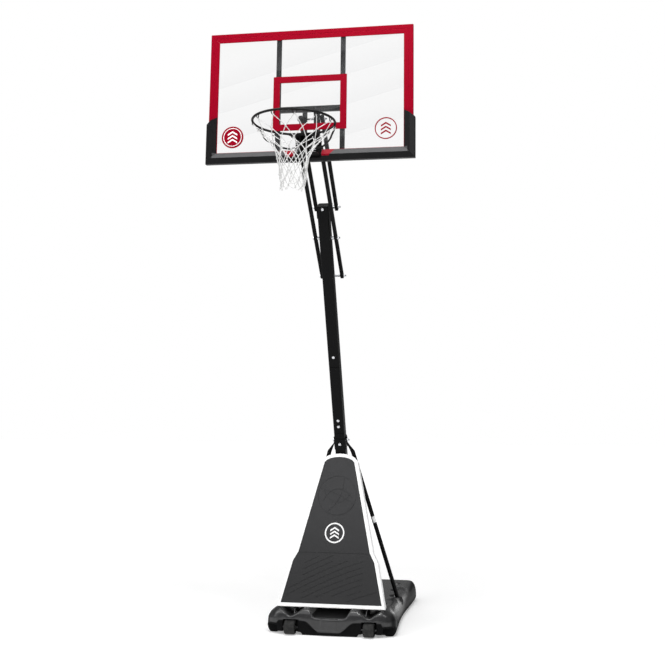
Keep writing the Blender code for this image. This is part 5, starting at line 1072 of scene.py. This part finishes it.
def hook_line(number):
    """From the left knot over the hook's wire to the right knot."""
    angle = math.tau * (number + 0.5) / NET_LOOPS
    outward = Vector((math.cos(angle), math.sin(angle), 0.0))
    along = Vector((-math.sin(angle), math.cos(angle), 0.0))
    wire = Vector((HOOP.x, HOOP.y, HOOK_LOW)) + outward * HOOK_RING
    lift = HOOK_WIRE + CORD_RADIUS + HOOK_GAP
    left = KNOTS[1][number - 1]
    right = KNOTS[1][number]
    bend = []
    for step in range(HOOK_STEPS + 1):
        turn = math.pi * step / HOOK_STEPS
        side = along * (step - HOOK_STEPS // 2) * HOOK_LEAN
        bend.append(wire + side - outward * lift * math.cos(turn) + Vector((0.0, 0.0, lift * math.sin(turn))))
    climb = [left + (bend[0] - left) * share for share in CLIMB_SHARES]
    fall = [bend[-1] + (right - bend[-1]) * share for share in FALL_SHARES]
    return climb + bend + fall


def bottom_line(number):
    """A rounded loop from one knot of the last row down and up to the next."""
    left = KNOTS[NET_ROWS - 1][number - 1]
    right = KNOTS[NET_ROWS - 1][number]
    pull = KNOTS[NET_ROWS][number] * 2.0 - (left + right) * 0.5
    line = []
    for step in range(LOOP_STEPS + 1):
        share = step / LOOP_STEPS
        line.append(left * (1 - share) ** 2 + pull * 2 * share * (1 - share) + right * share ** 2)
    return line


cord_lines = [hook_line(number) for number in range(NET_LOOPS)]
for row in range(1, NET_ROWS - 1):
    below = KNOTS[row + 1]
    for number, knot in enumerate(KNOTS[row]):
        first = number if row % 2 else number - 1
        for end in (below[first], below[(first + 1) % NET_LOOPS]):
            cord_lines.append(hanging_line(knot, end, CORD_SLACK * (row / NET_ROWS) ** 2))
cord_lines += [bottom_line(number) for number in range(NET_LOOPS)]
print("cords", len(cord_lines))

# %% [markdown]
# Each knot is a cord wrapped nearly twice round the two that meet. A short helix, seen from a step away, is
# enough to catch the light as a knot does.

# %% Wrap the knots and build the net
KNOT_RADIUS = 0.0030
KNOT_POINTS = 13
KNOT_TURNS = 1.8
KNOT_TILT = 0.6
KNOT_TALL = 0.0058


def knot_line(place):
    """A short helix round a knot's place, tilted at random."""
    tilt = wander.uniform(-KNOT_TILT, KNOT_TILT)
    start = wander.uniform(0.0, math.tau)
    line = []
    for step in range(KNOT_POINTS):
        turn = start + math.tau * KNOT_TURNS * step / (KNOT_POINTS - 1)
        rise = KNOT_TALL * (step / (KNOT_POINTS - 1) - 0.5)
        across = KNOT_RADIUS * math.cos(turn)
        line.append(place + Vector((
            across * math.cos(tilt) + rise * math.sin(tilt),
            KNOT_RADIUS * math.sin(turn),
            rise * math.cos(tilt) - across * math.sin(tilt))))
    return line


knot_lines = [knot_line(place) for row in KNOTS[1:NET_ROWS] for place in row]
net_mesh = rod_piece("knotted_net", cord_lines + knot_lines, CORD_RADIUS)
hand_over(net_mesh, "hoop", "net_cord", "net")

# %% [markdown]
# ## The springs
# Two compression springs push the ring back up. A spring is a helix whose last turn at each end lies flat, so
# the rise is slow, then even, then slow again. When the ring tips the real springs shorten. Here each one is
# wound at a single length, and the real stroke isn't known.

# %% Wind the springs
SPRING_X = 0.052
SPRING_Y = -1.473896
SPRING_LOW = 2.9585
SPRING_HIGH = 3.0375
SPRING_RADIUS = 0.0105
SPRING_WIRE = 0.0017
SPRING_CURLS = 5
FLAT_CURLS = 1
CURL_POINTS = 20
FLAT_GAP = 0.0002


def spring_line(side):
    """The spring's wire, wound up from its seat."""
    radius = SPRING_RADIUS - SPRING_WIRE
    flat_rise = 2 * SPRING_WIRE + FLAT_GAP
    curls = SPRING_CURLS + 2 * FLAT_CURLS
    open_rise = (SPRING_HIGH - SPRING_LOW - 2 * SPRING_WIRE - 2 * FLAT_CURLS * flat_rise) / SPRING_CURLS
    height = SPRING_LOW + SPRING_WIRE
    line = []
    for step in range(curls * CURL_POINTS + 1):
        curl = step / CURL_POINTS
        turn = math.tau * curl
        x = side * SPRING_X + radius * math.cos(turn)
        line.append(Vector((x, SPRING_Y + side * radius * math.sin(turn), height)))
        flat = curl < FLAT_CURLS or curl >= curls - FLAT_CURLS
        height += (flat_rise if flat else open_rise) / CURL_POINTS
    return line


for word, side in (("left", -1), ("right", 1)):
    spring = rod_piece(f"coil_{word}", [spring_line(side)], SPRING_WIRE, corners=3)
    hand_over(spring, "board", "zinc", f"spring_{word}")
    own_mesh(spring)

# %% [markdown]
# ## Weld beads
# The ring is one weldment: the brace, the top plate, the hinge barrel and the gussets are all welded on. A
# bead is laid in small overlapping pools, so its rod swells and shrinks along its length.

# %% Lay the weld beads on the ring
BEAD_STEP = 0.0016
RING_RADIUS = 0.232
HINGE_Y = -1.435896
BEAD_NOTCH = 0.72
RING_BEAD_RADIUS = 0.0019
RING_SEAMS = ((3.0560, 0.0050, 64, 116), (3.0490, 0.0080, 66, 114))
TOP_SEAM_HALF = 0.054
TOP_SEAM_BACK = 0.0106
TOP_SEAM_HEIGHT = 3.0566
BRACE_TURN = 78.5
BRACE_SEAM_HEIGHT = 3.0438
BRACE_SEAM_RADIUS = 0.0062
GUSSET_X = 0.024
GUSSET_HALF = 0.0030
GUSSET_ENDS = (0.016, 0.108)
GUSSET_SEAM_HEIGHT = 3.0500


def pools(number):
    """The swell of a bead at each point: pool, notch, pool, notch."""
    return 1.0 if number % 2 else BEAD_NOTCH


def straight(start, end):
    """Points a bead's step apart on a straight run."""
    start = Vector(start)
    run = Vector(end) - start
    count = max(3, round(run.length / BEAD_STEP))
    return [start + run * step / count for step in range(count + 1)]


def arc(centre, radius, from_degrees, to_degrees):
    """Points a bead's step apart on a level arc."""
    sweep = math.radians(to_degrees - from_degrees)
    count = max(3, round(abs(sweep) * radius / BEAD_STEP))
    first = math.radians(from_degrees)
    line = []
    for step in range(count + 1):
        angle = first + sweep * step / count
        x = centre[0] + radius * math.cos(angle)
        line.append(Vector((x, centre[1] + radius * math.sin(angle), centre[2])))
    return line


ring_beads = []
for height, out, start, end in RING_SEAMS:
    ring_beads.append(arc((HOOP.x, HOOP.y, height), RING_RADIUS + out, start, end))
seam_y = HINGE_Y - TOP_SEAM_BACK
ring_beads.append(straight(*[(x, seam_y, TOP_SEAM_HEIGHT) for x in (-TOP_SEAM_HALF, TOP_SEAM_HALF)]))
for side in (-1, 1):
    foot = math.radians(90 - side * BRACE_TURN)
    x = HOOP.x + RING_RADIUS * math.cos(foot)
    y = HOOP.y + RING_RADIUS * math.sin(foot)
    ring_beads.append(arc((x, y, BRACE_SEAM_HEIGHT), BRACE_SEAM_RADIUS, 0, 360))
    for face in (-1, 1):
        x = side * GUSSET_X + face * GUSSET_HALF
        ends = [(x, HINGE_Y - reach, GUSSET_SEAM_HEIGHT) for reach in GUSSET_ENDS]
        ring_beads.append(straight(*ends))
bead_piece = rod_piece("ring_weld_beads", ring_beads, RING_BEAD_RADIUS, swell=pools)
hand_over(bead_piece, "hoop", "rim_paint")

# %% [markdown]
# Behind the board the uprights are taken to be welded to the frame at both ends, the crossbar to the
# uprights, and each hinge plate along its foot. All these seams are straight.

# %% Lay the weld beads behind the board
FRAME_BACK = -1.369596
BOARD_LOW = 2.940
BOARD_HIGH = 3.757
UPRIGHT_X = 0.2005
CROSSBAR_Z = 3.258
FRAME_BEAD_RADIUS = 0.0016
SEAM_LIFT = 0.0003
END_SEAM_IN = 0.0280
END_SEAM_HALF = 0.011
BAR_SEAM_IN = 0.0142
BAR_SEAM_HALF = 0.014
CORNER_SEAM_X = 0.0458
CORNER_SEAM_Y = -1.3646
CORNER_SEAM_ENDS = (2.975, 3.235)

seam_y = FRAME_BACK + SEAM_LIFT
board_beads = []
for side in (-1, 1):
    x = side * UPRIGHT_X
    for z in (BOARD_LOW + END_SEAM_IN, BOARD_HIGH - END_SEAM_IN):
        board_beads.append(straight((x - END_SEAM_HALF, seam_y, z), (x + END_SEAM_HALF, seam_y, z)))
    x = side * (UPRIGHT_X - BAR_SEAM_IN)
    ends = (CROSSBAR_Z - BAR_SEAM_HALF, CROSSBAR_Z + BAR_SEAM_HALF)
    board_beads.append(straight(*[(x, seam_y, z) for z in ends]))
    x = side * CORNER_SEAM_X
    board_beads.append(straight(*[(x, CORNER_SEAM_Y, z) for z in CORNER_SEAM_ENDS]))
frame_beads = rod_piece("frame_weld_beads", board_beads, FRAME_BEAD_RADIUS, swell=pools)
hand_over(frame_beads, "board", "black_paint")

# %% [markdown]
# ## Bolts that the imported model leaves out
# The feet of the hinge plates and the rim's back plate are bolted on. A bolt head is a hexagon on a washer: a
# six-sided cylinder whose top is inset and raised to leave a chamfer and then dished, and a thin disc whose
# face is inset a little.

# %% Bolt the plates on
HEAD_RADIUS = 0.0085
HEAD_TALL = 0.0056
HEAD_SIDES = 6
HEAD_INSETS = ((0.0011, 0.0007), (0.0022, 0.0), (0.0004, -0.0006))
WASHER_RADIUS = 0.0102
WASHER_THICK = 0.0016
WASHER_SIDES = 28
WASHER_INSETS = ((0.0005, -0.0002),)
FACING_UP = 0.9


def pick_faces(piece, test):
    """Selects the faces that pass a test, in edit mode."""
    only(piece)
    bpy.ops.object.mode_set(mode="EDIT")
    bpy.ops.mesh.select_mode(type="FACE")
    bpy.ops.mesh.select_all(action="DESELECT")
    bpy.ops.object.mode_set(mode="OBJECT")
    for face in piece.data.polygons:
        face.select = test(face)
    bpy.ops.object.mode_set(mode="EDIT")


def faces_up(face):
    """Whether a face looks upwards."""
    return face.normal.z > FACING_UP


def add_disc(middle, turn, sides, radius, thickness, insets):
    """A round or hexagonal disc whose top is shaped by insets."""
    bpy.ops.mesh.primitive_cylinder_add(
        vertices=sides, radius=radius, depth=thickness, location=middle, rotation=turn)
    disc = bpy.context.object
    pick_faces(disc, faces_up)
    for inward, depth in insets:
        bpy.ops.mesh.inset(thickness=inward, depth=depth)
    bpy.ops.object.mode_set(mode="OBJECT")
    return disc


def add_bolt_head(name, place, direction):
    """A hexagon head on a washer, seated at a place and looking along a direction."""
    seat = Vector(place)
    out = Vector(direction)
    turn = out.to_track_quat("Z", "Y").to_euler()
    middle = seat + out * WASHER_THICK / 2
    washer = add_disc(middle, turn, WASHER_SIDES, WASHER_RADIUS, WASHER_THICK, WASHER_INSETS)
    middle = seat + out * (WASHER_THICK + HEAD_TALL / 2)
    head = add_disc(middle, turn, HEAD_SIDES, HEAD_RADIUS, HEAD_TALL, HEAD_INSETS)
    only(washer)
    head.select_set(True)
    bpy.context.view_layer.objects.active = head
    bpy.ops.object.join()
    return settle(head, name)


FOOT_FACE = -1.365296
RIM_PLATE_FACE = -1.408996
BOLT_LIFT = 0.0002
HINGE_BOLT_X = 0.0325
HINGE_BOLT_LEVELS = ((2.9553, "low"), (CROSSBAR_Z, "high"))
RIM_BOLT_X = 0.041
RIM_BOLT_LEVELS = ((2.982, "low"), (3.034, "high"))
for side, word in ((-1, "left"), (1, "right")):
    for z, level in HINGE_BOLT_LEVELS:
        place = (side * HINGE_BOLT_X, FOOT_FACE + BOLT_LIFT, z)
        head = add_bolt_head(f"hinge_plate_bolt_{word}_{level}", place, (0, 1, 0))
        hand_over(head, "board", "zinc")
    for z, level in RIM_BOLT_LEVELS:
        place = (side * RIM_BOLT_X, RIM_PLATE_FACE - BOLT_LIFT, z)
        head = add_bolt_head(f"rim_plate_bolt_{word}_{level}", place, (0, -1, 0))
        hand_over(head, "board", "rim_paint")

# %% [markdown]
# The pivots' bolts run a few millimetres past their nuts. A thread is a rod whose radius rises and falls with
# every half pitch, which reads as a thread from any distance at which one can see it at all.

# %% Cut the threads
THREAD_HALF_PITCH = 0.0005
THREAD_IN = 0.0036
THREAD_OUT = 0.0045
THREAD_ROOT = 0.86
THREADED_BOLTS = (
    ("stay_bolt", "stand", 0.0049),
    ("lift_bolt", "stand", 0.0059),
    ("upper_bolt", "stand", 0.0059),
    ("tail_bolt", "lift_arms", 0.0059),
    ("board_bolt_lower", "board", 0.0059),
    ("board_bolt_upper", "board", 0.0059),
)


def crests(number):
    """The swell of a thread at each point: crest, root, crest, root."""
    return 1.0 if number % 2 else THREAD_ROOT


def add_thread(node, radius):
    """A threaded end past the nut on the right side of a bolt."""
    low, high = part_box(node)
    y = (low[1] + high[1]) / 2
    z = (low[2] + high[2]) / 2
    start = high[0] - THREAD_IN
    count = round((THREAD_IN + THREAD_OUT) / THREAD_HALF_PITCH)
    line = [Vector((start + step * THREAD_HALF_PITCH, y, z)) for step in range(count + 1)]
    return rod_piece(f"{node}_thread", [line], radius, corners=3, swell=crests)


for node, body, radius in THREADED_BOLTS:
    hand_over(add_thread(node, radius), body, "zinc")

# %% [markdown]
# ## A plain sticker on the right stay
# The stay carries a small plain white sticker. It is a strip of a tube a hair wider than the stay:
# an open cylinder along the stay's line, with the far faces deleted and the rest given a thickness.

# %% Stick it on
STAY_HEAD = Vector((0.068, -0.281, 1.210))
STAY_FOOT = Vector((0.363, -0.017, 0.150))
STICKER_SHARE = 0.492
STICKER_RADIUS = 0.01475
STICKER_LENGTH = 0.046
STICKER_LOOK = Vector((0.63, -0.77, 0.10))
STICKER_REACH = math.cos(math.radians(68))
STICKER_SIDES = 48
PAPER_THICK = 0.0002
PAPER_ANGLE = math.radians(40)


def add_sticker():
    """A plain strip of paper wrapped part of the way round the stay."""
    run = (STAY_FOOT - STAY_HEAD).normalized()
    turn = run.to_track_quat("Z", "Y")
    bpy.ops.mesh.primitive_cylinder_add(
        vertices=STICKER_SIDES, radius=STICKER_RADIUS, depth=STICKER_LENGTH, end_fill_type="NOTHING",
        location=STAY_HEAD.lerp(STAY_FOOT, STICKER_SHARE), rotation=turn.to_euler())
    strip = bpy.context.object
    look = (turn.inverted() @ STICKER_LOOK).normalized()
    pick_faces(strip, lambda face: face.normal.dot(look) < STICKER_REACH)
    bpy.ops.mesh.delete(type="FACE")
    bpy.ops.object.mode_set(mode="OBJECT")
    apply_modifier(strip, "SOLIDIFY", {"thickness": PAPER_THICK, "offset": 1.0})
    bpy.ops.object.shade_smooth_by_angle(angle=PAPER_ANGLE)
    return settle(strip, "stay_sticker")


hand_over(add_sticker(), "stand", "white_shell")
